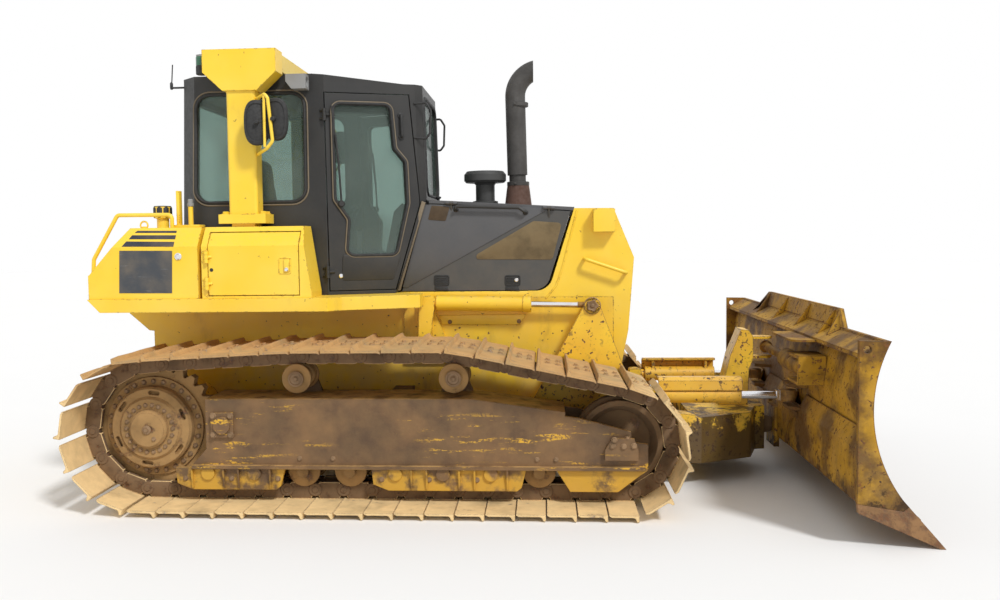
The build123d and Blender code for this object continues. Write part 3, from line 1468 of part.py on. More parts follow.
def c_frame():
    """Two arms and a cross box with a nose, upright lift plates, a mast and cylinder lugs."""
    arm = side_plate(
        [
            (FRAME_PIVOT_X - 40, FRAME_PIVOT_Z + 105),
            (2480, 560),
            (3300, 545),
            (NOSE_REAR_X + 20, NOSE_TOP + 16),
            (NOSE_REAR_X + 20, NOSE_BOTTOM + 2),
            (3000, 240),
            (2300, 345),
            (FRAME_PIVOT_X - 40, FRAME_PIVOT_Z - 105),
        ],
        -ARM_OUTER_Y,
        -ARM_INNER_Y,
    )
    pivot = disc(FRAME_PIVOT_X, FRAME_PIVOT_Z, 115, -ARM_OUTER_Y, -ARM_INNER_Y)
    bore_radius = TRUNNION_RADIUS + PIN_CLEARANCE
    bore = disc(FRAME_PIVOT_X, FRAME_PIVOT_Z, bore_radius, -ARM_OUTER_Y - 20, -ARM_INNER_Y + 20)
    plate = side_plate(
        [
            (2494, 548),
            (LIFT_EYE_X - 52, LIFT_EYE_Z + 12),
            (LIFT_EYE_X + 50, LIFT_EYE_Z + 14),
            (3240, 640),
            (3240, 535),
        ],
        -LIFT_PLATE_OUTER_Y,
        -LIFT_PLATE_INNER_Y,
    )
    boss = disc(LIFT_EYE_X, LIFT_EYE_Z, 56, -LIFT_PLATE_OUTER_Y - 14, -LIFT_PLATE_INNER_Y)
    cheeks = [
        side_plate(
            [
                (ANGLE_REAR_X - 75, 532),
                (ANGLE_REAR_X - 45, ANGLE_Z + 45),
                (ANGLE_REAR_X + 45, ANGLE_Z + 45),
                (ANGLE_REAR_X + 75, 522),
            ],
            -ANGLE_Y + side,
            -ANGLE_Y + side + ANGLE_CHEEK,
        )
        for side in (-ANGLE_EYE_HALF - 2 - ANGLE_CHEEK, ANGLE_EYE_HALF + 2)
    ]
    reach = ANGLE_EYE_HALF + 2 + ANGLE_CHEEK
    pin = disc(ANGLE_REAR_X, ANGLE_Z, ANGLE_PIN_RADIUS, -ANGLE_Y - reach, -ANGLE_Y + reach)
    right = [arm, pivot, plate, boss, *cheeks, pin]
    nose = frame_nose()
    mast = side_plate(
        [
            (BALL_X - 375, 470),
            (BALL_X - 283, 861),
            (BALL_X - 205, 1055),
            (BALL_X - 150, 1050),
            (BALL_X - MAST_SET_BACK, 1000),
            (BALL_X - MAST_SET_BACK, 830),
            (BALL_X - 145, 760),
            (BALL_X - 155, 470),
        ],
        -MAST_HALF_WIDTH,
        MAST_HALF_WIDTH,
    )
    ear = [(BALL_X - 150, -70), (BALL_X, -55), (BALL_X + 40, 0), (BALL_X, 55), (BALL_X - 150, 70)]
    fork = [plan_plate(ear, z, z + 20) for z in (TILT_EYE_Z - 82, TILT_EYE_Z + 62)]
    frame = fused([nose, mast] + fork + right + [mirrored(s) for s in right])
    seat_cut = Pos(BALL_X, 0, BALL_Z) * Sphere(BALL_RADIUS + BALL_GAP)
    return frame - fused(both(bore)) - seat_cut


def frame_nose():
    """Box between the arms, narrowing to the ball's seat, with round front corners."""
    corner_x, corner_y = NOSE_CORNER
    right = [
        (NOSE_REAR_X, -ARM_OUTER_Y),
        (NOSE_REAR_X + 60, -ARM_OUTER_Y),
        (corner_x, -corner_y),
        (BALL_X - 110, -140),
        (BALL_X - NOSE_GAP, -120),
    ]
    face = outline(right + [(x, -y) for x, y in reversed(right)], NOSE_BOTTOM, "z")
    places = [(corner_x, side * corner_y, NOSE_BOTTOM) for side in (-1, 1)]
    corners = [face.vertices().sort_by_distance(place)[0] for place in places]
    return extrude(fillet(corners, NOSE_CORNER_RADIUS), amount=NOSE_TOP - NOSE_BOTTOM, dir=(0, 0, 1))


def centre_ball():
    return Pos(BALL_X, 0, BALL_Z) * Sphere(BALL_RADIUS)


def angle_barrel():
    """Angle cylinder's barrel under its folded guard plate."""
    barrel = bar((ANGLE_REAR_X + 80, -ANGLE_Y, ANGLE_Z), (ANGLE_FRONT_X, -ANGLE_Y, ANGLE_Z), ANGLE_RADIUS)
    eye = disc(ANGLE_REAR_X, ANGLE_Z, 50, -ANGLE_Y - ANGLE_EYE_HALF, -ANGLE_Y + ANGLE_EYE_HALF)
    neck = bar((ANGLE_REAR_X, -ANGLE_Y, ANGLE_Z), (ANGLE_REAR_X + 100, -ANGLE_Y, ANGLE_Z), ANGLE_EYE_HALF)
    shield = front_plate(
        [
            (-ANGLE_Y - 62, ANGLE_Z + 40),
            (-ANGLE_Y - 62, ANGLE_Z + 108),
            (-ANGLE_Y - 20, ANGLE_Z + 128),
            (-ANGLE_Y + 40, ANGLE_Z + 128),
            (-ANGLE_Y + 40, ANGLE_Z + 112),
            (-ANGLE_Y - 14, ANGLE_Z + 112),
            (-ANGLE_Y - 46, ANGLE_Z + 96),
            (-ANGLE_Y - 46, ANGLE_Z + 30),
        ],
        ANGLE_REAR_X + 60,
        ANGLE_FRONT_X + 4,
    )
    saddles = [
        block(x, x + 24, -ANGLE_Y - 40, -ANGLE_Y + 30, ANGLE_Z + 30, ANGLE_Z + 114)
        for x in (ANGLE_REAR_X + 135, ANGLE_FRONT_X - 80)
    ]
    whole = fused([barrel, eye, neck, shield] + saddles)
    whole -= disc(ANGLE_REAR_X, ANGLE_Z, ANGLE_PIN_RADIUS + PIN_CLEARANCE, -ANGLE_Y - 100, -ANGLE_Y + 100)
    bore_start, bore_end = (ANGLE_REAR_X + 150, -ANGLE_Y, ANGLE_Z), (ANGLE_EYE_X, -ANGLE_Y, ANGLE_Z)
    return whole - bar(bore_start, bore_end, ANGLE_ROD_RADIUS + PIN_CLEARANCE)


def angle_rod():
    start, end = (ANGLE_FRONT_X - 250, -ANGLE_Y, ANGLE_Z), (ANGLE_EYE_X - 30, -ANGLE_Y, ANGLE_Z)
    rod = bar(start, end, ANGLE_ROD_RADIUS)
    eye = bar((ANGLE_EYE_X, -ANGLE_Y, ANGLE_Z - 36), (ANGLE_EYE_X, -ANGLE_Y, ANGLE_Z + 36), 50)
    neck = block(ANGLE_EYE_X - 86, ANGLE_EYE_X, -ANGLE_Y - 34, -ANGLE_Y + 34, ANGLE_Z - 34, ANGLE_Z + 34)
    return fused([rod, eye, neck])


# Blade


def tilt_axis():
    start, end = Vector(*TILT_BASE), Vector(BALL_X, 0, TILT_EYE_Z)
    return start, end, (end - start).normalized()


def tilt_barrel():
    start, _, along = tilt_axis()
    barrel = bar(tuple(start), tuple(start + along * 420), TILT_RADIUS)
    end_ball = Pos(*TILT_BASE) * Sphere(TILT_RADIUS)
    bore = bar(tuple(start + along * 80), tuple(start + along * 500), TILT_ROD_RADIUS + PIN_CLEARANCE)
    x, y, z = TILT_BASE
    pin_hole = bar((x, y, z - 200), (x, y, z + 200), TILT_PIN_RADIUS + PIN_CLEARANCE)
    return fused([barrel, end_ball]) - bore - pin_hole


def tilt_rod():
    _, end, along = tilt_axis()
    start = TILT_BASE
    rod = bar(tuple(Vector(*start) + along * 190), tuple(end - along * 20), TILT_ROD_RADIUS)
    eye = Pos(*end) * Sphere(48)
    return fused([rod, eye])


def mould_arc(inset):
    """The hollow front curve as an edge, moved back from the soil by the inset."""
    return ThreePointArc(
        (BLADE_TOP[0] - inset, 0, BLADE_TOP[1]),
        (BLADE_MIDDLE[0] - inset, 0, BLADE_MIDDLE[1]),
        (BLADE_KNEE[0] - inset, 0, BLADE_KNEE[1]),
    )


def closed_by(arc, corners):
    """A face bounded by an arc and by straight lines through the corners, from its end to its start."""
    points = [arc @ 1] + [(x, 0, z) for x, z in corners] + [arc @ 0]
    return make_face([arc, *Polyline(points).edges()])


def across(face, y0, y1):
    """A face at y = 0, carried from y0 to y1."""
    return Pos(0, y0, 0) * extrude(face, amount=y1 - y0, dir=(0, 1, 0))


def cutting_line(share, inset):
    """A point on the slanted cutting edge, from the knee at 0 to the tip at 1."""
    run = (BLADE_TIP_X - BLADE_KNEE[0], -BLADE_KNEE[1])
    size = math.hypot(*run)
    return (
        BLADE_KNEE[0] + run[0] * share + inset * run[1] / size,
        BLADE_KNEE[1] + run[1] * share - inset * run[0] / size,
    )


def skin():
    """The curved plate that rolls the soil."""
    half = BLADE_HALF_WIDTH - END_PLATE
    back = mould_arc(BLADE_SKIN)
    lip, lip_back = cutting_line(EDGE_START, 0), cutting_line(EDGE_START, BLADE_SKIN)
    behind = [back @ share for share in (0.94, 0.8, 0.6, 0.4, 0.2, 0)]
    corners = [lip, lip_back] + [(p.X, p.Z) for p in behind]
    return across(closed_by(mould_arc(0), corners), -half, half)


def closing_plate():
    """Flat plate that boxes in the skin's lower half, with pockets for the angle cylinders' eyes."""
    half = BLADE_HALF_WIDTH - END_PLATE
    low = cutting_line(EDGE_START - 0.04, BLADE_SKIN - 4)
    web = BLADE_SKIN - 4
    crease = (BLADE_BACK_X + 62, CREASE_Z)
    plate = side_plate(
        [
            low,
            (BLADE_BACK_X + CLOSING_INSET, BLADE_BACK_FOOT),
            (BLADE_BACK_X + CLOSING_INSET, CREASE_Z - 110),
            crease,
            (crease[0] + 8, CREASE_Z - 26),
            (BLADE_BACK_X + CLOSING_INSET + web, CREASE_Z - 116),
            (BLADE_BACK_X + CLOSING_INSET + web, BLADE_BACK_FOOT + web),
            (low[0] - 10, low[1] + web),
        ],
        -half,
        half,
    )
    return plate - fused(both(eye_room()))


def roof_line():
    """Front and rear edge of the sloping plate behind the blade's top, in x and z."""
    return (BLADE_TOP[0] - 8, BLADE_TOP[1]), (BLADE_BACK_X + ROOF_REAR_X, BLADE_TOP[1] - ROOF_DROP)


def roof_plate():
    """Plate that slopes back and down from the skin's top edge."""
    half = BLADE_HALF_WIDTH - END_PLATE
    (x1, z1), (x0, z0) = roof_line()
    return side_plate([(x1, z1), (x0, z0), (x0, z0 - BLADE_SKIN), (x1, z1 - BLADE_SKIN)], -half, half)


def blade():
    """Mouldboard: the curved skin, the plate that closes it behind and the sloping plate along its top."""
    return joined([skin(), closing_plate(), roof_plate()])


def blade_end():
    """End plate of the blade, with a hole in its raised ear."""
    tip, tip_back = cutting_line(EDGE_START, 0), cutting_line(EDGE_START, 40)
    corners = [tip, tip_back, (BLADE_BACK_X, BLADE_BACK_FOOT), (BLADE_BACK_X, END_PLATE_TOP)]
    plate = across(closed_by(mould_arc(0), corners), -BLADE_HALF_WIDTH, -BLADE_HALF_WIDTH + END_PLATE)
    hole_ys = (-BLADE_HALF_WIDTH - 1, -BLADE_HALF_WIDTH + END_PLATE + 1)
    return plate - disc(BLADE_BACK_X + EAR_HOLE_X, END_PLATE_TOP - EAR_HOLE_DROP, EAR_HOLE_RADIUS, *hole_ys)


def blade_crown():
    """Raised middle of the blade's top, with ribs and gussets behind it and a cover for the tilt cylinder."""
    foot_x, top_x = BLADE_TOP[0] - 4, BLADE_TOP[0] + 30
    (_, _), (rear_x, rear_z) = roof_line()

    def sheet(points, thickness, way):
        return extrude(make_face(Polyline(points, close=True)), amount=thickness, dir=way)

    foot, top = CROWN_FOOT_HALF_WIDTH, CROWN_TOP_HALF_WIDTH
    face = [
        (foot_x, -foot, BLADE_TOP[1]),
        (foot_x, foot, BLADE_TOP[1]),
        (top_x, top, CROWN_TOP),
        (top_x, -top, CROWN_TOP),
    ]
    plate = sheet(face, BLADE_SKIN, (-1, 0, 0))
    gusset = sheet(
        [
            (foot_x - BLADE_SKIN / 2, -foot + CROWN_RIB, BLADE_TOP[1] - BLADE_SKIN),
            (top_x - BLADE_SKIN / 2, -top, CROWN_TOP - 2),
            (rear_x + 30, -foot + 4 * CROWN_RIB, rear_z + 4),
        ],
        CROWN_RIB,
        (0, 1, 0),
    )
    ribs = [
        side_plate(
            [
                (rear_x + 12, rear_z - BLADE_SKIN / 2),
                (foot_x - BLADE_SKIN / 2, BLADE_TOP[1] - BLADE_SKIN / 2),
                (top_x - BLADE_SKIN / 2, CROWN_TOP - 14),
                (top_x - BLADE_SKIN - 14, CROWN_TOP - 14),
            ],
            y - CROWN_RIB / 2,
            y + CROWN_RIB / 2,
        )
        for y in CROWN_RIB_YS
    ]
    whole = joined([plate, *ribs, *both(gusset)]) - skin() - roof_plate()
    return group([whole, tilt_cover()])


def tilt_cover():
    """Round-cornered plate over the tilt cylinder, welded to the roof plate's rear edge."""
    (_, _), (rear_x, rear_z) = roof_line()
    (y0, y1), z = COVER_YS, rear_z - BLADE_SKIN
    points = [(rear_x, y0), (rear_x, y1), (rear_x - COVER_REACH, y1), (rear_x - COVER_REACH, y0)]
    face = outline(points, z, "z")
    rear = face.vertices().sort_by(Axis.X)[:2]
    return extrude(fillet(rear, COVER_CORNER_RADIUS), amount=BLADE_SKIN / 2, dir=(0, 0, 1))


def blade_brackets():
    """Ball socket, angle cylinder brackets and tilt cylinder bracket on the blade's back."""
    front = BLADE_BACK_X + CLOSING_INSET
    socket = block(BALL_X + NOSE_GAP, front, -125, 125, BALL_Z - 150, BALL_Z + 150)
    socket -= Pos(BALL_X, 0, BALL_Z) * Rot(0, 0, 180) * Sphere(BALL_RADIUS + BALL_GAP)
    right = [*angle_bracket(), back_panel()]
    return group([socket, *tilt_bracket()] + right + [mirrored(s) for s in right])


def back_panel():
    """Raised plate below the angle cylinder's bracket, drawn in to the ball socket by a round edge."""
    front = BLADE_BACK_X + CLOSING_INSET
    (y0, y1), top = BACK_PANEL_YS, ANGLE_Z - ANGLE_ROOM - 34
    low = BLADE_BACK_FOOT + 10
    shape = front_plate([(y0, top), (y1, top), (y1, low), (y0, low)], front - BACK_PANEL, front)
    radius = BACK_PANEL_RADIUS
    middle = (y0, top - 40 - radius)
    return shape - bar((front - BACK_PANEL - 1, *middle), (front + 1, *middle), radius)


def mould_back_at(z):
    """Where the back of the skin is at a height."""
    arc = mould_arc(BLADE_SKIN)
    low, high = 0.0, 1.0
    for _ in range(30):
        middle = (low + high) / 2
        if (arc @ middle).Z > z:
            low = middle
        else:
            high = middle
    return (arc @ low).X


def eye_room():
    """Space round the right-hand angle cylinder's eye, which the blade leaves open as it angles."""
    x0, x1, reach = ANGLE_EYE_X - 100, ANGLE_EYE_X + 110, 110
    return block(x0, x1, -ANGLE_Y - reach, -ANGLE_Y + reach, ANGLE_Z - ANGLE_ROOM, ANGLE_Z + ANGLE_ROOM)


def angle_bracket():
    """Plates above and below the angle cylinder's rod eye."""
    half, plate = 150, 24
    plates = []
    for z, behind in ((ANGLE_Z - ANGLE_ROOM - plate, closing_plate()), (ANGLE_Z + ANGLE_ROOM, skin())):
        front = min(mould_back_at(z) + 8, mould_back_at(z + plate) + 8)
        if z < CREASE_Z:
            front = BLADE_BACK_X + CLOSING_INSET + 12
        shape = [
            (front, -ANGLE_Y - half),
            (front, -ANGLE_Y + half),
            (ANGLE_EYE_X - 20, -ANGLE_Y + half - 70),
            (ANGLE_EYE_X - 20, -ANGLE_Y - half + 70),
        ]
        plates.append(plan_plate(shape, z, z + plate) - behind)
    return plates


def tilt_bracket():
    """Plates above, below and outside the tilt cylinder's base on the blade's right-hand half."""
    x, y, z = TILT_BASE
    room, plate = TILT_RADIUS + 8, 22
    x0, x1 = x - 84, mould_back_at(z) + 8
    y0, y1 = y - 120, y + 130
    shelves = [block(x0, x1, y0, y1, level, level + plate) for level in (z - room - plate, z + room)]
    cheek = block(x0, x1, y0 - plate, y0 + 1, z - room - plate, z + room + plate)
    pin = bar((x, y, z - room - 2), (x, y, z + room + 2), TILT_PIN_RADIUS)
    return [joined(shelves + [cheek, pin]) - skin()]


def cutting_edge():
    """Bolted edge along the foot of the blade, with end bits that close its corners."""
    thick = 26
    start = EDGE_START + 0.002
    line = [cutting_line(s, 0) for s in (start, 1)] + [cutting_line(s, thick) for s in (0.935, start)]
    edge = side_plate(line, -BLADE_HALF_WIDTH, BLADE_HALF_WIDTH)
    foot, lip_back = (BLADE_BACK_X, BLADE_BACK_FOOT - SEAT_GAP), cutting_line(EDGE_START, 40)
    bit = side_plate(
        [
            (lip_back[0], lip_back[1] - SEAT_GAP),
            foot,
            (foot[0] + 8, foot[1] - END_BIT_DROP),
            cutting_line(0.93, thick - 2),
            cutting_line(start, thick - 2),
        ],
        -BLADE_HALF_WIDTH,
        -BLADE_HALF_WIDTH + END_PLATE,
    )
    return joined([edge, *both(bit)])


# Small fittings


def handrails():
    """Rear corner rails, rails on the radiator guard and grab rails beside the cab."""
    rear = tube(
        [
            (x, -880, z)
            for x, z in (
                (TANK_REAR_X - SEAT_GAP, 1500),
                (TANK_REAR_X - 46, 1500),
                (TANK_REAR_X - 36, 1640),
                (-319, 1943),
                (66, 1941),
                (66, BOX_TOP + SEAT_GAP),
            )
        ],
        14,
        30,
    )
    guard = tube(
        [
            (2900, -HOOD_HALF_WIDTH - 0.3, 1600),
            (2900, -HOOD_HALF_WIDTH - 70, 1600),
            (3190, -HOOD_HALF_WIDTH - 70, 1500),
            (3190, -HOOD_HALF_WIDTH - 0.3, 1500),
        ],
        13,
        30,
    )
    return group([rear, mirrored(rear), guard, mirrored(guard)])


def mirror_arm():
    top = ROPS_HEAD_BOTTOM - MIRROR_DROP
    x, post_y = ROPS_X + ROPS_POST_LENGTH / 2, ROPS_POST_OUTER_Y - 35
    low = top - MIRROR_HEIGHT - 70
    return tube(
        [
            (x + SEAT_GAP, -post_y, low),
            (x + MIRROR_REACH + 7, -post_y, low),
            (x + MIRROR_REACH + 7, -MIRROR_Y, low + 50),
            (x + MIRROR_REACH + 7, -MIRROR_Y, top - 10),
        ],
        12,
        24,
    )


def mirrors():
    """Round-cornered mirrors on bent arms in front of the roll-over frame's posts."""
    x = ROPS_X + ROPS_POST_LENGTH / 2 + MIRROR_REACH
    y0, y1 = -MIRROR_Y - MIRROR_WIDTH / 2, -MIRROR_Y + MIRROR_WIDTH / 2
    low, top = ROPS_HEAD_BOTTOM - MIRROR_DROP - MIRROR_HEIGHT, ROPS_HEAD_BOTTOM - MIRROR_DROP
    face = outline([(y0, low), (y1, low), (y1, top), (y0, top)], x, "x")
    head = extrude(fillet(face.vertices(), 50), amount=-40, dir=(1, 0, 0))
    right = fused([mirror_arm(), head])
    return group(both(right))


def lamps():
    """Head lamps in the guard's hoods, work lamps on the cab's sides and a beacon on the roll-over frame."""
    x, y, z = LAMP_BACK_X + SEAT_GAP, -HOOD_HALF_WIDTH - LAMP_HOOD_DEPTH / 2, sum(LAMP_HOOD[1]) / 2
    head = both(bar((x, y, z), (x + LAMP_LENGTH, y, z), LAMP_RADIUS))
    beacon_x, top = ROPS_X - ROPS_HEAD_LENGTH / 2 - BEACON_RADIUS - SEAT_GAP, ROPS_TOP - 20
    beacon = bar((beacon_x, BEACON_Y, top - BEACON_HEIGHT), (beacon_x, BEACON_Y, top), BEACON_RADIUS)
    return group(head + [beacon] + both(work_lamp()))


def work_lamp():
    """Box lamp at the top of the cab's side, facing forward."""
    x0, x1 = WORK_LAMP_X, WORK_LAMP_X + WORK_LAMP_LENGTH
    z1 = CAB_TOP + 40
    z0 = z1 - WORK_LAMP_HEIGHT
    y1 = -cab_side_at(x1, z0) - SEAT_GAP
    y0 = y1 - WORK_LAMP_DEPTH
    housing = side_plate([(x0, z1), (x1, z1), (x1, z0), (x0 + 40, z0), (x0, z0 + 50)], y0, y1)
    return housing - bar((x1 - 30, (y0 + y1) / 2, (z0 + z1) / 2), (x1 + 1, (y0 + y1) / 2, (z0 + z1) / 2), 36)


def parts():
    """Every node's name and shape, in the drawing's frame."""
    one_track, one_sprocket, one_idler, one_frame = track(), sprocket(), idler(), track_frame()
    carried = rollers()
    sides = {}
    for side in ("right", "left"):
        sides[f"track_{side}"] = at_side(one_track, side)
        sides[f"sprocket_{side}"] = at_side(one_sprocket, side)
        sides[f"track_frame_{side}"] = at_side(one_frame, side)
        sides[f"idler_{side}"] = at_side(one_idler, side)
        sides[f"rollers_{side}"] = group([at_side(r, side) for r in carried])
    pairs = {
        "fender_box": fender_box(),
        "fender_door": fender_door(),
        "cab_door": cab_door(),
        "door_glass": door_glass(),
        "engine_door": engine_door(),
        "lift_barrel": lift_barrel(),
        "lift_rod": lift_rod(),
        "angle_barrel": angle_barrel(),
        "angle_rod": angle_rod(),
        "blade_end": blade_end(),
    }
    for name, shape in pairs.items():
        sides[f"{name}_right"] = shape
        sides[f"{name}_left"] = mirrored(shape)
    single = {
        "main_frame": main_frame(),
        "lift_lugs": lift_lugs(),
        "suspension_bars": suspension_bars(),
        "drawbar": drawbar(),
        "fuel_tank": fuel_tank(),
        "deck": deck(),
        "rops_frame": rops_frame(),
        "cab_shell": cab_shell(),
        "cab_glass": cab_glass(),
        "seat": seat(),
        "console": console(),
        "hood": hood(),
        "engine_block": engine_block(),
        "radiator": radiator(),
        "radiator_guard": radiator_guard(),
        "front_grille": front_grille(),
        "exhaust_stack": exhaust_stack(),
        "precleaner": precleaner(),
        "c_frame": c_frame(),
        "centre_ball": centre_ball(),
        "tilt_barrel": tilt_barrel(),
        "tilt_rod": tilt_rod(),
        "blade": blade(),
        "blade_crown": blade_crown(),
        "blade_brackets": blade_brackets(),
        "cutting_edge": cutting_edge(),
        "handrails": handrails(),
        "mirrors": mirrors(),
        "lamps": lamps(),
    }
    return {**sides, **single}


def main():
    os.makedirs("parts", exist_ok=True)
    for name, shape in parts().items():
        solids = [Pos(-ORIGIN_X, 0, 0) * solid for solid in shape.solids()]
        export_step(solids[0] if len(solids) == 1 else Compound(children=solids), f"parts/{name}.step")


if __name__ == "__main__":
    main()
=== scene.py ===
import math
import random

import bmesh
import bpy
from mathutils import Matrix, Quaternion, Vector
from mathutils.bvhtree import BVHTree


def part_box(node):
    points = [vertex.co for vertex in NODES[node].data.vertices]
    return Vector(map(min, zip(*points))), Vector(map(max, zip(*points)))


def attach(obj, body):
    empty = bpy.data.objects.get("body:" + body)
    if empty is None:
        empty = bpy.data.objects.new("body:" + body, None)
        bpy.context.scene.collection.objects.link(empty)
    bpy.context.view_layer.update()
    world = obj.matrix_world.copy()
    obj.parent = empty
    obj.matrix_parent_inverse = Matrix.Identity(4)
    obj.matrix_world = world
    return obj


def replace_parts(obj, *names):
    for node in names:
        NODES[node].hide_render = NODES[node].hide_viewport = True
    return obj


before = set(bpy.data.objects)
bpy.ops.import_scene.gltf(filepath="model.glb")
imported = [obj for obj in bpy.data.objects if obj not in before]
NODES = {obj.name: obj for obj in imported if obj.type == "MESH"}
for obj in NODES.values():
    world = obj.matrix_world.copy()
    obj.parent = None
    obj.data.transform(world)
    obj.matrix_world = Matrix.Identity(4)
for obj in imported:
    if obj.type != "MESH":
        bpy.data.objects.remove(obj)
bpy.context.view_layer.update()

# Crawler dozer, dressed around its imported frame. Metres, +X to the blade, +Y to the left, +Z up.

SIDES = (("right", -1), ("left", 1))


# Places read from the frame


def middle(node):
    low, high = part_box(node)
    return (low + high) / 2


SPROCKET = middle("sprocket_right")
IDLER = middle("idler_right")
TRACK_Y = middle("track_left").y


# Node material helpers


class Nodes:
    """A short way to write a node tree."""

    def __init__(self, name):
        self.material = bpy.data.materials.new(name)
        self.material.use_nodes = True
        self.tree = self.material.node_tree
        self.shader = self.tree.nodes["Principled BSDF"]
        self.place = self.add("ShaderNodeTexCoord").outputs["Object"]

    def add(self, kind, inputs=None, **settings):
        """A node with these settings, and with these numbers or links at its inputs."""
        node = self.tree.nodes.new(kind)
        for key, value in settings.items():
            setattr(node, key, value)
        for key, value in (inputs or {}).items():
            self.link(value, node.inputs[key])
        return node

    def link(self, value, socket):
        if isinstance(value, bpy.types.NodeSocket):
            self.tree.links.new(value, socket)
        else:
            socket.default_value = value

    def noise(self, scale, detail=4.0, rough=0.55, stretch=None):
        place = self.place
        if stretch:
            place = self.add("ShaderNodeMapping", {"Vector": place, "Scale": stretch}).outputs["Vector"]
        inputs = {"Vector": place, "Scale": scale, "Detail": detail, "Roughness": rough}
        return self.add("ShaderNodeTexNoise", inputs).outputs["Fac"]

    def part(self, vector, axis):
        return self.add("ShaderNodeSeparateXYZ", {0: vector}).outputs[axis]

    def axis(self, name):
        return self.part(self.place, name)

    def ramp(self, value, low, high, out_low=0.0, out_high=1.0, smooth=True):
        """A value's way from low to high, drawn out to another range."""
        kind = "SMOOTHSTEP" if smooth else "LINEAR"
        inputs = {"Value": value, "From Min": low, "From Max": high, "To Min": out_low, "To Max": out_high}
        return self.add("ShaderNodeMapRange", inputs, interpolation_type=kind).outputs["Result"]

    def math(self, operation, a, b=0.0):
        return self.add("ShaderNodeMath", {0: a, 1: b}, operation=operation).outputs[0]

    def times(self, a, b):
        return self.math("MULTIPLY", a, b)

    def plus(self, a, b):
        return self.math("ADD", a, b)

    def most(self, a, b):
        return self.math("MAXIMUM", a, b)

    def waves(self, axis, pitch):
        """Humps along an axis, with a pitch in radians a metre."""
        return self.math("ABSOLUTE", self.math("SINE", self.times(self.axis(axis), pitch)))

    def mix(self, share, *colors):
        a, b = (c if isinstance(c, bpy.types.NodeSocket) else (*c, 1.0) for c in colors)
        return self.add("ShaderNodeMix", {0: share, 6: a, 7: b}, data_type="RGBA").outputs[2]

    def normal(self):
        return self.add("ShaderNodeNewGeometry").outputs["Normal"]

    def facing(self, axis):
        """How far a surface faces along an axis, in the object's own frame."""
        kinds = dict(vector_type="NORMAL", convert_from="WORLD", convert_to="OBJECT")
        own = self.add("ShaderNodeVectorTransform", {0: self.normal()}, **kinds)
        return self.part(own.outputs[0], axis)

    def eased(self, radius):
        """The surface's direction with its edges rounded off."""
        return self.add("ShaderNodeBevel", {"Radius": radius}, samples=4).outputs[0]

    def edges(self, radius):
        """1 along the edges, fading over the radius."""
        inputs = {0: self.eased(radius), 1: self.normal()}
        dot = self.add("ShaderNodeVectorMath", inputs, operation="DOT_PRODUCT")
        return self.ramp(dot.outputs["Value"], 0.99, 0.86)

    def bump(self, height, distance, strength=1.0, below=None):
        inputs = {"Height": height, "Distance": distance, "Strength": strength}
        if below is not None:
            inputs["Normal"] = below
        return self.add("ShaderNodeBump", inputs).outputs[0]

    def finish(self, color, roughness, metallic=None, normal=None, **numbers):
        self.link(color, self.shader.inputs["Base Color"])
        self.link(roughness, self.shader.inputs["Roughness"])
        if metallic is not None:
            self.link(metallic, self.shader.inputs["Metallic"])
        if normal is not None:
            self.link(normal, self.shader.inputs["Normal"])
        for key, number in numbers.items():
            self.shader.inputs[key.replace("_", " ")].default_value = number
        return self.material


# Colours, linear

YELLOW = (0.92, 0.60, 0.025)
YELLOW_FADED = (0.93, 0.66, 0.07)
CHARCOAL = (0.072, 0.073, 0.077)
CAB_DARK = (0.022, 0.022, 0.022)
DUST = (0.60, 0.43, 0.22)
PALE_MUD = (0.74, 0.53, 0.26)
DRY_MUD = (0.46, 0.27, 0.105)
GREASE = (0.055, 0.030, 0.014)
RUST = (0.20, 0.085, 0.035)
DARK_RUST = (0.075, 0.045, 0.028)
BARE_STEEL = (0.33, 0.30, 0.27)
SCOURED = (0.225, 0.165, 0.115)
SCOURED_DARK = (0.115, 0.072, 0.045)
NAVY = (0.012, 0.016, 0.032)
RUBBER = (0.02, 0.02, 0.02)
# Blade paint: worn brown paint, its two colours made darker still as painted shade of the blade's back
WORN_SHADED = (0.46, 0.245, 0.016)
WORN_DARK_SHADED = (0.125, 0.060, 0.013)

# Pitches of wire, cloth and lens ribs, in radians a metre
WIRE_PITCH, WEAVE_PITCH, RIB_PITCH = 420.0, 900.0, 260.0


def tint(color, by, plus=0.0):
    """A colour made lighter or darker."""
    return tuple(min(1.0, c * by + plus) for c in color)


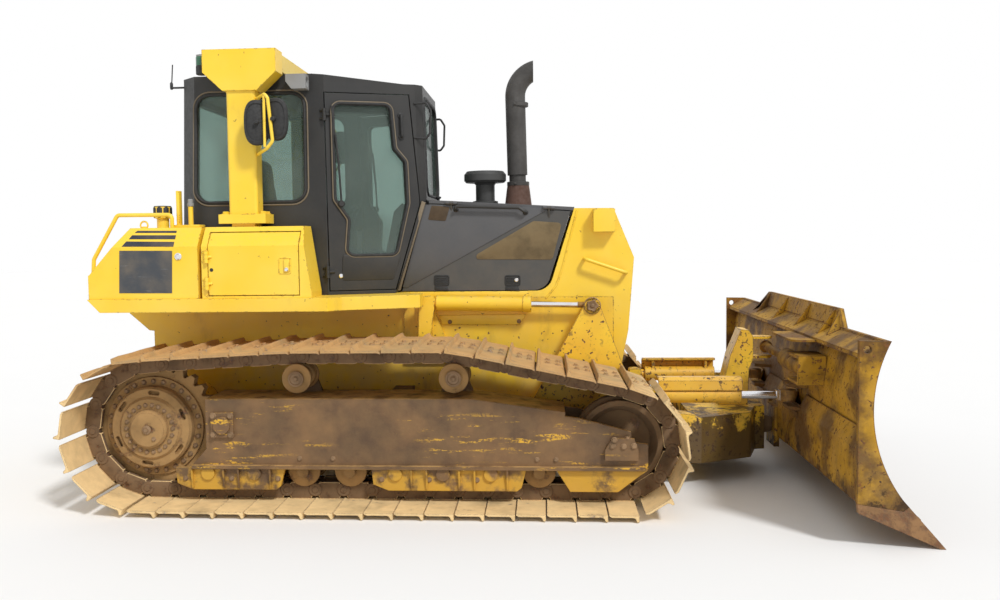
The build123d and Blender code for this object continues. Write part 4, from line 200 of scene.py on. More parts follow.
def paint(
    name, color, faded, wear=0.35, dust=0.25, dust_top=1.6, dirt=0.3, gloss=0.34, grease=None, specks=0.0,
    sharp=0.0, scoured=False,
):
    """Paint with fading, chips along its edges, stains and dust that thins out upwards.

    It can have rust specks and, up to a height, grease. Sharp makes its patches crisp and its shine dull.
    A scoured look has lost its paint where it faces forward."""
    n = Nodes(name)
    blotch = n.noise(2.2, 3.0 + sharp * 4.0, 0.5 + sharp * 0.1)
    base = n.mix(n.ramp(blotch, 0.3 + sharp * 0.12, 0.75 - sharp * 0.17), color, faded)
    fine = n.noise(38.0, 5.0, 0.6)
    stain = n.ramp(n.noise(3.5, 6.0, 0.62, stretch=(1.0, 1.0, 0.45)), 0.56, 0.80, 0.0, dirt)
    base = n.mix(stain, base, RUST)
    low = n.times(n.ramp(n.axis("Z"), dust_top, dust_top * 0.35), dust)
    film = n.times(n.ramp(n.noise(6.0, 7.0, 0.65), 0.30, 0.72), n.plus(low, dust * 0.18))
    up = n.ramp(n.facing("Z"), 0.35, 0.95, 0.0, dust * 0.9)
    film = n.most(film, n.times(up, n.ramp(fine, 0.35, 0.62)))
    base = n.mix(film, base, DUST)
    flakes = n.ramp(n.noise(21.0, 6.0, 0.7), 0.62 - wear * 0.3, 0.72 - wear * 0.3)
    spot = 0.745 - wear * 0.095
    spots = n.ramp(n.noise(27.0, 3.0, 0.5), spot, spot + 0.02, 0.0, min(1.0, wear * 1.6))
    chip = n.most(n.times(n.edges(0.012), flakes), spots)
    if specks:
        cluster = n.ramp(n.noise(4.0, 4.0, 0.6), 0.42, 0.58, 0.15, specks)
        chip = n.most(chip, n.times(cluster, n.ramp(n.noise(33.0, 5.0, 0.6), 0.575, 0.615)))
    base = n.mix(chip, base, n.mix(n.ramp(fine, 0.4, 0.6), DARK_RUST, RUST))
    if scoured:
        front = n.times(n.ramp(n.facing("X"), 0.25, 0.55), n.ramp(n.noise(7.0, 7.0, 0.65), 0.22, 0.36))
        tone = n.mix(n.ramp(n.noise(3.0, 7.0, 0.7), 0.35, 0.65), SCOURED, SCOURED_DARK)
        base = n.mix(front, base, tone)
    if grease:
        ragged = n.ramp(n.noise(6.5, 8.0, 0.7), 0.30, 0.70, -0.26, 0.26, smooth=False)
        share = n.ramp(n.plus(n.axis("Z"), ragged), grease, grease - 0.10, 0.0, 0.92)
        base = n.mix(share, base, GREASE)
    rough = n.plus(n.ramp(fine, 0.3, 0.7, gloss, gloss + 0.14), n.times(n.most(film, chip), 0.4))
    height = n.math("SUBTRACT", n.times(fine, 0.25), chip)
    return n.finish(
        base, rough, normal=n.bump(height, 0.0012, 0.35, n.eased(0.005)),
        Specular_IOR_Level=0.5 - sharp * 0.3, Coat_Weight=0.12 - sharp * 0.12, Coat_Roughness=0.2,
    )


def caked(name, steel, mud, cover, scale=9.0, shine=0.0, dry_above=None):
    """Steel under dried mud: lumps and rubbed edges. The mud can be redder above a height."""
    n = Nodes(name)
    lumps = n.noise(scale, 8.0, 0.62)
    fine = n.noise(scale * 9, 5.0, 0.6)
    tone = n.mix(n.ramp(lumps, 0.3, 0.7), mud, tint(mud, 1.2))
    if dry_above:
        high = n.ramp(n.axis("Z"), dry_above - 0.12, dry_above + 0.08)
        tone = n.mix(high, tone, n.mix(n.ramp(lumps, 0.3, 0.7), DRY_MUD, tint(DRY_MUD, 1.25)))
    tone = n.mix(n.ramp(n.noise(scale * 0.35, 4.0), 0.45, 0.75, 0.0, 0.8), tone, tint(mud, 0.5))
    bare = n.mix(n.ramp(fine, 0.4, 0.65), steel, RUST)
    share = n.ramp(lumps, 0.68 - cover * 0.5, 0.80 - cover * 0.5)
    rubbed = n.times(n.edges(0.010), n.ramp(fine, 0.38, 0.6))
    share = n.times(share, n.math("SUBTRACT", 1.0, n.times(rubbed, 0.75)))
    base = n.mix(share, bare, tone)
    rough = n.ramp(share, 0.0, 1.0, 0.5 - shine * 0.2, 0.92)
    height = n.plus(n.times(share, n.plus(lumps, 0.3)), n.times(fine, 0.3))
    metal = n.times(n.math("SUBTRACT", 1.0, share), 0.35 + shine * 0.4)
    return n.finish(base, rough, metallic=metal, normal=n.bump(height, 0.006, 0.7, n.eased(0.005)))


def scuffed_frame(name):
    """Brown, oily plate with long yellow scratches left along its length and dust on top."""
    n = Nodes(name)
    grime = n.noise(3.0, 7.0, 0.6)
    base = n.mix(n.ramp(grime, 0.35, 0.7), (0.095, 0.053, 0.026), (0.215, 0.118, 0.052))
    streak = n.noise(7.0, 6.0, 0.7, stretch=(0.35, 1.0, 2.6))
    band = n.ramp(n.noise(1.6, 2.0, stretch=(0.5, 1.0, 2.0)), 0.44, 0.60)
    left = n.times(n.ramp(streak, 0.56, 0.62), band)
    left = n.times(left, n.ramp(n.noise(60.0, 3.0), 0.40, 0.52))
    guard = n.ramp(n.axis("Z"), 0.285, 0.255, 0.0, 0.8)
    left = n.most(left, n.times(guard, n.ramp(n.noise(5.0, 6.0, 0.6), 0.40, 0.55)))
    base = n.mix(n.times(left, 0.85), base, (0.80, 0.45, 0.03))
    up = n.ramp(n.facing("Z"), 0.25, 0.9)
    film = n.times(n.most(up, 0.10), n.ramp(n.noise(8.0, 7.0, 0.65), 0.28, 0.6))
    base = n.mix(film, base, (0.52, 0.32, 0.12))
    rough = n.ramp(grime, 0.3, 0.7, 0.48, 0.75)
    height = n.plus(n.noise(30.0, 6.0), n.times(film, 0.6))
    return n.finish(base, rough, metallic=0.15, normal=n.bump(height, 0.003, 0.5, n.eased(0.006)))


def plain(name, color, rough, metal=0.0, grain=60.0, depth=0.0006, vary=0.25):
    """A moulded or machined surface with a little grain and uneven tone."""
    n = Nodes(name)
    fine = n.noise(grain, 5.0, 0.6)
    wide = n.ramp(n.noise(4.0, 4.0), 0.3, 0.7)
    base = n.mix(n.times(wide, vary), color, tint(color, 1.8, 0.01))
    sheen = n.ramp(fine, 0.3, 0.7, rough * 0.8, rough * 1.2)
    return n.finish(base, sheen, metallic=metal, normal=n.bump(fine, depth, 0.4, n.eased(0.003)))


def screen(name, dust):
    """Dusty wire mesh: a weave of round wires over gaps painted dark as shade, with brown dust packed in.
    """
    n = Nodes(name)
    wire = n.ramp(n.most(n.waves("X", WIRE_PITCH), n.waves("Z", WIRE_PITCH)), 0.55, 0.95)
    packed = n.ramp(n.noise(7.0, 6.0, 0.6), 0.28, 0.62)
    # The gaps between the wires are painted dark: painted shade of the hollow behind the mesh
    base = n.mix(wire, tint(dust, 0.2), tint(dust, 0.65))
    base = n.mix(n.times(packed, 0.75), base, dust)
    return n.finish(base, 0.85, metallic=0.1, normal=n.bump(wire, 0.002, 0.6))


def stripe(name, color):
    """A painted stripe with fine scratches and a little dust."""
    n = Nodes(name)
    scratch = n.ramp(n.noise(30.0, 5.0, 0.6, stretch=(0.25, 1.0, 2.5)), 0.62, 0.70, 0.0, 0.5)
    base = n.mix(scratch, color, tint(color, 2, 0.06))
    base = n.mix(n.ramp(n.noise(5.0, 5.0), 0.35, 0.8, 0.0, 0.18), base, DUST)
    return n.finish(base, n.ramp(scratch, 0.0, 0.5, 0.36, 0.6), normal=n.bump(scratch, 0.0004, 0.3))


def lens(name, color, strength):
    """Moulded lamp plastic with its ribs."""
    n = Nodes(name)
    ribs = n.waves("Z", RIB_PITCH)
    base = n.mix(n.times(ribs, 0.5), color, tint(color, 1.6, 0.02))
    rough = n.ramp(ribs, 0.0, 1.0, 0.08, 0.2)
    return n.finish(base, rough, normal=n.bump(ribs, 0.001, strength), Coat_Weight=0.6)


def cloth(name, color):
    """Woven seat fabric."""
    n = Nodes(name)
    weave = n.most(n.waves("X", WEAVE_PITCH), n.waves("Y", WEAVE_PITCH))
    base = n.mix(n.times(weave, 0.6), color, tint(color, 2.2))
    base = n.mix(n.ramp(n.noise(6.0, 4.0), 0.4, 0.8, 0.0, 0.2), base, DUST)
    return n.finish(base, 0.9, normal=n.bump(weave, 0.001, 0.5), Sheen_Weight=0.3)


def chrome(name, eye_from=None):
    """Polished rod with a thin film. From an x onward it is the rod's rusty, cast eye."""
    n = Nodes(name)
    rings = n.noise(90.0, 3.0, 0.5, stretch=(8.0, 0.4, 0.4))
    film = n.ramp(n.noise(7.0, 5.0), 0.5, 0.8, 0.0, 0.35)
    base = n.mix(film, (0.78, 0.78, 0.80), (0.45, 0.38, 0.28))
    rough = n.ramp(rings, 0.3, 0.7, 0.07, 0.18)
    if eye_from is None:
        return n.finish(base, rough, metallic=1.0, normal=n.bump(rings, 0.0004, 0.3))
    cast = n.ramp(n.axis("X"), eye_from - 0.004, eye_from + 0.004)
    lumps = n.noise(24.0, 7.0, 0.65)
    base = n.mix(cast, base, n.mix(n.ramp(lumps, 0.35, 0.65), (0.16, 0.08, 0.02), (0.34, 0.18, 0.04)))
    rough = n.plus(rough, n.times(cast, 0.55))
    height = n.times(n.plus(rings, lumps), n.ramp(cast, 0.0, 1.0, 0.2, 1.0))
    return n.finish(base, rough, metallic=n.math("SUBTRACT", 1.0, cast), normal=n.bump(height, 0.002, 0.3))


def glass(name):
    """Green tinted glass with a film of dust, thicker low down."""
    n = Nodes(name)
    low = n.ramp(n.axis("Z"), 2.1, 1.4, 0.0, 0.10)
    film = n.plus(n.ramp(n.noise(2.5, 3.0, 0.5), 0.42, 0.85, 0.0, 0.16), low)
    clear = n.add("ShaderNodeBsdfTransparent", {"Color": (0.80, 0.90, 0.87, 1.0)})
    n.finish(n.mix(film, (0.17, 0.215, 0.19), (0.42, 0.43, 0.38)), 0.06, Specular_IOR_Level=0.6)
    share = n.ramp(film, 0.0, 0.26, 0.30, 0.55)
    blend = n.add("ShaderNodeMixShader", {0: share, 1: clear.outputs[0], 2: n.shader.outputs[0]})
    n.link(blend.outputs[0], n.tree.nodes["Material Output"].inputs["Surface"])
    return n.material


WORN_YELLOW = dict(
    wear=1.0, dust=0.10, dust_top=1.4, dirt=0.9, gloss=0.55, grease=0.26, specks=0.9, sharp=1.0
)
M = {
    "yellow": paint("yellow_paint", YELLOW, YELLOW_FADED),
    "yellow_low": paint(
        "yellow_low_paint", YELLOW, (0.82, 0.50, 0.03), wear=0.6, dust=0.4, dust_top=1.3, dirt=0.6
    ),
    "yellow_arm": paint(
        "arm_paint", (0.85, 0.50, 0.02), (0.74, 0.40, 0.03), wear=0.9, dust=0.2, dust_top=1.1, dirt=0.8,
        specks=0.9,
    ),
    "yellow_frame": paint(
        "dozing_frame_paint", YELLOW, (0.76, 0.42, 0.03), wear=1.0, dust=0.2, dust_top=1.1, dirt=0.8,
        grease=0.50, specks=1.0,
    ),
    # Blade, brackets, tilt parts and drawbar: worn brown paint whose colours also hold painted shade
    "yellow_worn_shaded": paint("yellow_worn_shaded_paint", WORN_SHADED, WORN_DARK_SHADED, **WORN_YELLOW),
    "mouldboard": paint("mouldboard_paint", WORN_SHADED, WORN_DARK_SHADED, scoured=True, **WORN_YELLOW),
    "charcoal": paint(
        "charcoal_paint", CHARCOAL, (0.087, 0.088, 0.092), wear=0.03, dust=0.03, dust_top=2.3, dirt=0.02,
        gloss=0.42,
    ),
    "charcoal_low": paint(
        "charcoal_low_paint", (0.052, 0.052, 0.050), (0.066, 0.064, 0.059), wear=0.05, dust=0.07,
        dust_top=2.2, dirt=0.05,
    ),
    "cab": paint(
        "cab_paint", CAB_DARK, (0.031, 0.031, 0.030), wear=0.05, dust=0.04, dust_top=2.2, dirt=0.02,
        gloss=0.42, sharp=0.5,
    ),
    "track": caked("track_mud", BARE_STEEL, PALE_MUD, 0.85, dry_above=0.82),
    "chain": caked("chain_grime", DARK_RUST, (0.17, 0.105, 0.055), 0.7, 12.0),
    "wheel": caked("wheel_mud", (0.10, 0.062, 0.036), (0.33, 0.195, 0.075), 0.75, 9.0),
    "wheel_dark": caked("wheel_grime", DARK_RUST, (0.145, 0.088, 0.042), 0.75, 7.0),
    "edge": caked("edge_steel", (0.155, 0.085, 0.045), (0.25, 0.135, 0.058), 0.5, 7.0, 0.2),
    "frame": scuffed_frame("track_frame_grime"),
    "chrome": chrome("fitting_chrome"),
    "lift_rod": chrome("lift_rod_chrome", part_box("lift_rod_right")[1].x - 0.150),
    "angle_rod": chrome("angle_rod_chrome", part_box("angle_rod_right")[1].x - 0.115),
    "glass": glass("tinted_glass"),
    "rubber": plain("black_rubber", RUBBER, 0.7),
    "seal": plain("dusty_seal", (0.17, 0.135, 0.09), 0.8),
    "trim": plain("cab_trim", (0.09, 0.09, 0.095), 0.75, depth=0.001),
    "iron": plain("cast_iron", (0.10, 0.095, 0.09), 0.6, 0.3, 24.0, 0.002),
    "bolt": plain("bolt_steel", (0.20, 0.125, 0.065), 0.6, 0.35, 40.0, 0.0015, 0.8),
    "bolt_yellow": plain("bolt_paint", (0.80, 0.50, 0.03), 0.45, 0.0, 40.0, 0.001, 0.3),
    "grey": plain("grey_plastic", (0.23, 0.23, 0.225), 0.5),
    "exhaust": plain("exhaust_steel", (0.045, 0.042, 0.039), 0.65, 0.2, 30.0, 0.001, 0.6),
    "rusty": plain("hot_rust", (0.085, 0.045, 0.032), 0.8, 0.2, 34.0, 0.002, 0.8),
    "intake": plain("intake_plastic", (0.035, 0.035, 0.034), 0.5),
    "screen": screen("dusty_screen", (0.24, 0.175, 0.088)),
    "vent": screen("vent_screen", (0.115, 0.078, 0.045)),
    "navy": stripe("navy_stripe", NAVY),
    "panel": stripe("dark_panel", (0.045, 0.052, 0.062)),
    "green": lens("green_lens", (0.004, 0.085, 0.035), 0.5),
    "clear": lens("lamp_lens", (0.55, 0.57, 0.58), 0.4),
    "cloth": cloth("seat_cloth", (0.035, 0.036, 0.042)),
}

# Which material each node of the frame takes
LOOKS = {
    "yellow": [
        "fuel_tank", "deck", "rops_frame", "radiator_guard", "fender_box", "fender_door", "handrails",
    ],
    "yellow_low": ["main_frame", "lift_lugs", "lift_barrel"],
    "yellow_arm": ["angle_barrel"],
    "yellow_frame": ["c_frame"],
    "mouldboard": ["blade", "blade_crown"],
    "yellow_worn_shaded": ["blade_end", "blade_brackets", "tilt_barrel", "tilt_rod", "drawbar"],
    "charcoal": ["hood"],
    "charcoal_low": ["engine_door"],
    "cab": ["cab_shell", "cab_door", "mirrors", "front_grille"],
    "track": ["track"],
    "wheel": ["sprocket", "rollers"],
    "wheel_dark": ["idler", "suspension_bars", "centre_ball"],
    "edge": ["cutting_edge"],
    "frame": ["track_frame"],
    "lift_rod": ["lift_rod"],
    "angle_rod": ["angle_rod"],
    "glass": ["cab_glass", "door_glass"],
    "trim": ["seat", "console"],
    "iron": ["engine_block", "radiator"],
    "exhaust": ["exhaust_stack"],
    "intake": ["precleaner"],
    "grey": ["lamps"],
}
for look, names in LOOKS.items():
    for name in names:
        for node in (name, f"{name}_right", f"{name}_left"):
            if node in NODES:
                NODES[node].data.materials.clear()
                NODES[node].data.materials.append(M[look])


# The photograph's camera

CAMERA_PLACE = Vector((0.4865, -7.311, 1.755))
CAMERA_YAW, CAMERA_PITCH, CAMERA_ROLL = math.radians(4.23), math.radians(3.69), math.radians(-0.70)
IMAGE_WIDTH, IMAGE_HEIGHT, FOCAL_PIXELS, CENTRE_PIXEL = 1000, 600, 957.39, 473.47
SENSOR = 36.0


def camera_axes():
    """Right, up and ahead of the camera."""
    level = math.cos(CAMERA_PITCH)
    ahead = Vector((-math.sin(CAMERA_YAW) * level, math.cos(CAMERA_YAW) * level, -math.sin(CAMERA_PITCH)))
    right = Vector((math.cos(CAMERA_YAW), math.sin(CAMERA_YAW), 0.0))
    up = right.cross(ahead)
    across = right * math.cos(CAMERA_ROLL) + up * math.sin(CAMERA_ROLL)
    return across, up * math.cos(CAMERA_ROLL) - right * math.sin(CAMERA_ROLL), ahead


VIEW_RIGHT, VIEW_UP, VIEW_AHEAD = camera_axes()


def sight(pixel):
    """The direction in which the camera sees a pixel of the photograph."""
    across, down = (pixel[0] - CENTRE_PIXEL) / FOCAL_PIXELS, (pixel[1] - IMAGE_HEIGHT / 2) / FOCAL_PIXELS
    return (VIEW_AHEAD + VIEW_RIGHT * across - VIEW_UP * down).normalized()


def in_plane(pixel, y):
    """Where a pixel's line of sight meets an upright plane along the machine."""
    way = sight(pixel)
    return CAMERA_PLACE + way * ((y - CAMERA_PLACE.y) / way.y)


TREES = {}


def hit(node, start, way):
    """Where a line meets a node, and which way the surface faces there."""
    if node not in TREES:
        mesh = NODES[node].data
        points, faces = [v.co for v in mesh.vertices], [p.vertices[:] for p in mesh.polygons]
        TREES[node] = BVHTree.FromPolygons(points, faces)
    place, normal, _, _ = TREES[node].ray_cast(Vector(start), Vector(way))
    if place is None:
        raise ValueError(f"nothing of {node} lies that way from {tuple(start)}")
    return place, normal if normal.dot(Vector(way)) < 0 else -normal


def seen(node, pixel):
    """Where a pixel of the photograph lies on a node."""
    return hit(node, CAMERA_PLACE, sight(pixel))


# Mesh building

UP, OUTWARD = Vector((0, 0, 1)), Vector((0, -1, 0))


def rounded(points, radius, closed=False, steps=5):
    """A line through the points whose corners are turned by arcs."""
    points = [Vector(p) for p in points]
    line = []
    for i, corner in enumerate(points):
        if not closed and i in (0, len(points) - 1):
            line.append(corner)
            continue
        to_last, to_next = points[i - 1] - corner, points[(i + 1) % len(points)] - corner
        half = to_last.angle(to_next) / 2
        cut = min(radius / math.tan(half), to_last.length * 0.49, to_next.length * 0.49)
        u, v = to_last.normalized(), to_next.normalized()
        centre = corner + (u + v).normalized() * (cut / math.cos(half))
        start, end = corner + u * cut - centre, corner + v * cut - centre
        turn = start.rotation_difference(end)
        line += [centre + Quaternion().slerp(turn, k / steps) @ start for k in range(steps + 1)]
    return line


class Shape:
    """A mesh in the making, in the frame's metres."""

    def __init__(self):
        self.bm = bmesh.new()
        self.look = 0

    def skin(self, rings, closed=False):
        """Faces between rings of points, with open ends capped."""
        loops = [[self.bm.verts.new(p) for p in ring] for ring in rings]
        faces = []
        for a, b in zip(loops, loops[1:] + loops[:1] if closed else loops[1:]):
            for i, vert in enumerate(a):
                j = (i + 1) % len(a)
                faces.append(self.bm.faces.new((vert, a[j], b[j], b[i])))
        if not closed:
            faces += [self.bm.faces.new(loops[0][::-1]), self.bm.faces.new(loops[-1])]
        for face in faces:
            face.material_index = self.look
        bmesh.ops.recalc_face_normals(self.bm, faces=faces)
        return faces

    def prism(self, ring, offset, ease=0.0):
        """An outline drawn out along an offset, with its edges eased."""
        offset = Vector(offset)
        faces = self.skin([ring, [Vector(p) + offset for p in ring]])
        if ease:
            edges = list(dict.fromkeys(edge for face in faces for edge in face.edges))
            bmesh.ops.bevel(self.bm, geom=edges, offset=ease, segments=2, profile=0.5, affect="EDGES")

    def block(self, low, high, ease=0.004):
        (x0, y0, z0), (x1, y1, z1) = low, high
        self.prism([(x0, y0, z0), (x1, y0, z0), (x1, y1, z0), (x0, y1, z0)], (0, 0, z1 - z0), ease)

    def lathe(self, profile, place, axis, steps=24, lobes=0, depth=0.0):
        """Radius and height pairs turned about an axis. Lobes make the ring wavy."""
        turn = Vector(axis).to_track_quat("Z", "Y")
        rings = []
        for radius, height in profile:
            ring = []
            for k in range(steps):
                a = math.tau * k / steps
                r = radius * (1 - depth * (0.5 - 0.5 * math.cos(lobes * a)))
                ring.append(Vector(place) + turn @ Vector((r * math.cos(a), r * math.sin(a), height)))
            rings.append(ring)
        self.skin(rings)

    def tube(self, path, radius, steps=10, closed=False):
        """A round bar along a path."""
        path = [Vector(p) for p in path]
        ends = path[-1:] + path + path[:1] if closed else [path[0]] + path + [path[-1]]
        ways = [(b - a).normalized() for a, b in zip(ends, ends[2:])]
        side = ways[0].orthogonal().normalized()
        rings = []
        for i, (place, way) in enumerate(zip(path, ways)):
            if i:
                side = ways[i - 1].rotation_difference(way) @ side
            other = way.cross(side)
            angles = [math.tau * k / steps for k in range(steps)]
            rings.append([place + (side * math.cos(a) + other * math.sin(a)) * radius for a in angles])
        self.skin(rings, closed)

    def bolt(self, place, way, radius):
        """A washer with a hexagon head on it."""
        r = radius
        self.lathe([(r * 1.3, -r * 0.1), (r * 1.3, r * 0.18), (r * 1.16, r * 0.26)], place, way, 14)
        self.lathe([(r, r * 0.2), (r, r * 0.78), (r * 0.86, r * 0.92)], place, way, 6)

    def mirror(self):
        """The same shape on the other side of the machine."""
        bmesh.ops.scale(self.bm, vec=(1, -1, 1), verts=self.bm.verts)
        bmesh.ops.reverse_faces(self.bm, faces=self.bm.faces)


SHARP_ANGLE = math.radians(35)
SIDED_BODIES = ("engine_door", "fender_door", "cab_door")


def piece(name, shape, look, body="tractor", more_looks=()):
    """Turns a finished shape into an object that rides a body."""
    mesh = bpy.data.meshes.new(name)
    shape.bm.to_mesh(mesh)
    shape.bm.free()
    for each in (look, *more_looks):
        mesh.materials.append(M[each])
    mesh.polygons.foreach_set("use_smooth", [True] * len(mesh.polygons))
    mesh.set_sharp_from_angle(angle=SHARP_ANGLE)
    obj = bpy.data.objects.new(name, mesh)
    bpy.context.scene.collection.objects.link(obj)
    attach(obj, body)
    return obj


def pair(name, draw, look, body="tractor"):
    """A piece on the right and its mirror image on the left. A sided body has one of each."""
    for side, sign in SIDES:
        shape = Shape()
        draw(shape)
        if sign > 0:
            shape.mirror()
        piece(f"{name}_{side}", shape, look, f"{body}_{side}" if body in SIDED_BODIES else body)


def paired(look, body="tractor"):
    """Makes the pair of pieces that a function draws, and names them after it."""

    def make(draw):
        pair(draw.__name__, draw, look, body)
        return draw

    return make


def turned(node, pixel, rings, steps=18):
    """Draws a turned fitting that stands on a node where the photograph shows it."""

    def draw(shape):
        shape.lathe(rings, *seen(node, pixel), steps)

    return draw


def ahead(x):
    """The frame's x of a place so many metres ahead of the sprocket's axis."""
    return SPROCKET.x + x


# Tracks: worn shoes with one grouser, bolted to two strands of links

LINK_PITCH = 0.190
SHOE_HALF_WIDTH = (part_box("track_right")[1].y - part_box("track_right")[0].y) / 2
PIN_TO_SHOE, PIN_TO_RAIL = 0.060, 0.050
SHOE_THICKNESS, GROUSER_HEIGHT, GROUSER_THICKNESS, SHOE_GAP = 0.014, 0.033, 0.020, 0.007
PIN_HEIGHT = GROUSER_HEIGHT + SHOE_THICKNESS + PIN_TO_SHOE
SPROCKET_TEETH = 28
SPROCKET_PIN_RADIUS = LINK_PITCH / 2 / math.tan(math.tau / SPROCKET_TEETH)
IDLER_TREAD = 0.273
CARRIERS = ((ahead(0.989), 0.993), (ahead(2.023), 0.993))
CARRIER_AXIS_Z = 0.851
SHOE_STATIONS = 9
GROUSER_WEAR = 0.004
STRANDS = (0.058, 0.097)
BOSS_RADIUS, BOSS_EASE, BUSHING_RADIUS = 0.045, 0.004, 0.029
PIN_RINGS = [(0.022, 0.08), (0.022, 0.103), (0.019, 0.106)]
SHOE_BOLTS = [(t, across) for t in (0.40, 0.76) for across in (0.0775, -0.0775)]
SHOE_BOLT_RADIUS = 0.0155


def pin_line():
    """The line of the chain's pins, from the idler's foot by the sprocket and the carriers back."""
    reach = math.hypot(IDLER_TREAD + PIN_TO_RAIL, LINK_PITCH / 2)
    foot = -math.acos(LINK_PITCH / 2 / reach)

    def touch(point, centre, radius, side):
        dx, dz = point[0] - centre[0], point[1] - centre[1]
        return math.atan2(dz, dx) + side * math.acos(radius / math.hypot(dx, dz))

    rear, front = (SPROCKET.x, PIN_HEIGHT + SPROCKET_PIN_RADIUS), (IDLER.x, IDLER.z)
    leave = touch(CARRIERS[0], rear, SPROCKET_PIN_RADIUS, 1)
    meet = touch(CARRIERS[-1], front, reach, -1)
    line = [(IDLER.x + LINK_PITCH / 2, PIN_HEIGHT), (SPROCKET.x, PIN_HEIGHT)]
    steps = 90
    for i in range(1, steps + 1):
        a = -math.pi / 2 - (math.pi * 1.5 - leave) * i / steps
        x, z = SPROCKET_PIN_RADIUS * math.cos(a), SPROCKET_PIN_RADIUS * math.sin(a)
        line.append((rear[0] + x, rear[1] + z))
    line += CARRIERS
    for i in range(steps + 1):
        a = meet + (foot - meet) * i / steps
        line.append((front[0] + reach * math.cos(a), front[1] + reach * math.sin(a)))
    return line


def pins():
    """Evenly spaced pins along the closed line."""
    line = pin_line()
    runs = [math.dist(a, b) for a, b in zip(line, line[1:])]
    count = round(sum(runs) / LINK_PITCH)
    pitch = sum(runs) / count
    found, travelled, at = [], 0.0, 0
    for i in range(count):
        while travelled + runs[at] < i * pitch:
            travelled += runs[at]
            at += 1
        share = (i * pitch - travelled) / runs[at]
        a, b = line[at], line[at + 1]
        found.append((a[0] + (b[0] - a[0]) * share, a[1] + (b[1] - a[1]) * share))
    return found


def shoe_section(length, worn):
    """A shoe's outline along and outward of its link, with its grouser worn down a little."""
    inner, outer = PIN_TO_SHOE, PIN_TO_SHOE + SHOE_THICKNESS
    tip = outer + GROUSER_HEIGHT - worn
    start, end = SHOE_GAP / 2, length - SHOE_GAP / 2
    root = start + GROUSER_THICKNESS
    return [
        (start, inner), (end - 0.016, inner), (end, inner - 0.007), (end, inner + 0.004),
        (end - 0.018, outer), (root + 0.014, outer), (root + 0.004, outer + 0.006),
        (root - 0.005, tip - 0.003), (root - 0.009, tip), (start + 0.003, tip), (start, tip - 0.003),
    ]


def track(side, sign):
    """A closed chain of links, pins and bushings with a bolted shoe on each link."""
    chance = random.Random(7)
    shape, chain, y = Shape(), pins(), sign * TRACK_Y
    for a, b in zip(chain, chain[1:] + chain[:1]):
        length = math.dist(a, b)
        along = Vector((b[0] - a[0], 0, b[1] - a[1])) / length
        out = Vector((-along.z, 0, along.x))
        foot = Vector((a[0], y, a[1]))

        def at(t, n, across=0.0):
            return foot + along * t + out * n + Vector((0, across, 0))

        shape.look = 0
        rings = []
        for k in range(SHOE_STATIONS):
            across = SHOE_HALF_WIDTH * (2 * k / (SHOE_STATIONS - 1) - 1)
            worn = chance.uniform(0, GROUSER_WEAR) + (GROUSER_WEAR if k in (0, SHOE_STATIONS - 1) else 0)
            rings.append([at(t, n, across) for t, n in shoe_section(length, worn)])
        shape.skin(rings)
        for t, across in SHOE_BOLTS:
            shape.bolt(at(t * length, PIN_TO_SHOE + SHOE_THICKNESS, across), out, SHOE_BOLT_RADIUS)
        shape.look = 1
        low, high, seat = -PIN_TO_RAIL, PIN_TO_SHOE, 0.030
        body = [
            (seat, low), (length - seat, low), (length - 0.012, -0.030), (length - 0.012, 0.028),
            (length - seat, high), (seat, high), (0.012, 0.028), (0.012, -0.030),
        ]
        inner, outer = STRANDS
        for hand in (-1, 1):
            shape.prism([at(t, n, hand * inner) for t, n in body], (0, hand * (outer - inner), 0), 0.004)
            for pin, y0, y1 in ((0.0, inner - 0.004, 0.079), (length, 0.078, outer + 0.005)):
                low_end = [(BOSS_RADIUS - BOSS_EASE, y0), (BOSS_RADIUS, y0 + BOSS_EASE)]
                high_end = [(BOSS_RADIUS, y1 - BOSS_EASE), (BOSS_RADIUS - BOSS_EASE, y1)]
                shape.lathe(low_end + high_end, at(pin, 0), (0, hand, 0), 16)
            shape.lathe(PIN_RINGS, at(length, 0), (0, hand, 0), 12)
        shape.lathe([(BUSHING_RADIUS, -inner), (BUSHING_RADIUS, inner)], at(0, 0), (0, 1, 0), 14)
    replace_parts(piece(f"track_chain_{side}", shape, "track", more_looks=("chain",)), f"track_{side}")


for side, sign in SIDES:
    track(side, sign)


# Bolts on the wheels and the track frames

HUB_FACE = TRACK_Y + 0.148
HUB_BOLTS, HUB_BOLT_CIRCLE, HUB_BOLT_RADIUS = 22, 0.158, 0.012
RIM_FACE = TRACK_Y + 0.054
RIM_BOLTS, RIM_BOLT_CIRCLE, RIM_BOLT_RADIUS = 28, 0.303, 0.014
HUB_TOP, HUB_PLUG = TRACK_Y + 0.192, Vector((0.045, 0, -0.062))


def ring_of_bolts(shape, centre, count, circle, radius):
    for i in range(count):
        a = math.tau * i / count
        shape.bolt(centre + Vector((circle * math.cos(a), 0, circle * math.sin(a))), OUTWARD, radius)


@paired("bolt")
def sprocket_bolts(shape):
    centre = Vector((SPROCKET.x, 0, SPROCKET.z))
    ring_of_bolts(shape, centre + OUTWARD * HUB_FACE, HUB_BOLTS, HUB_BOLT_CIRCLE, HUB_BOLT_RADIUS)
    ring_of_bolts(shape, centre + OUTWARD * RIM_FACE, RIM_BOLTS, RIM_BOLT_CIRCLE, RIM_BOLT_RADIUS)
    shape.lathe([(0.030, -0.006), (0.030, 0.008), (0.024, 0.012)], centre + OUTWARD * HUB_TOP, OUTWARD, 20)
    shape.bolt(centre + OUTWARD * (HUB_TOP + 0.010), OUTWARD, 0.015)
    shape.bolt(centre + OUTWARD * HUB_TOP + HUB_PLUG, OUTWARD, 0.012)


# Pixels of the bolts on the idler's bearing block, as x and y
BEARING_BOLTS = ((612.7, 446.0), (623.8, 446.7), (634.0, 446.0), (614.4, 440.2), (627.6, 438.6))
BEARING_BOLT_RADIUS = 0.016
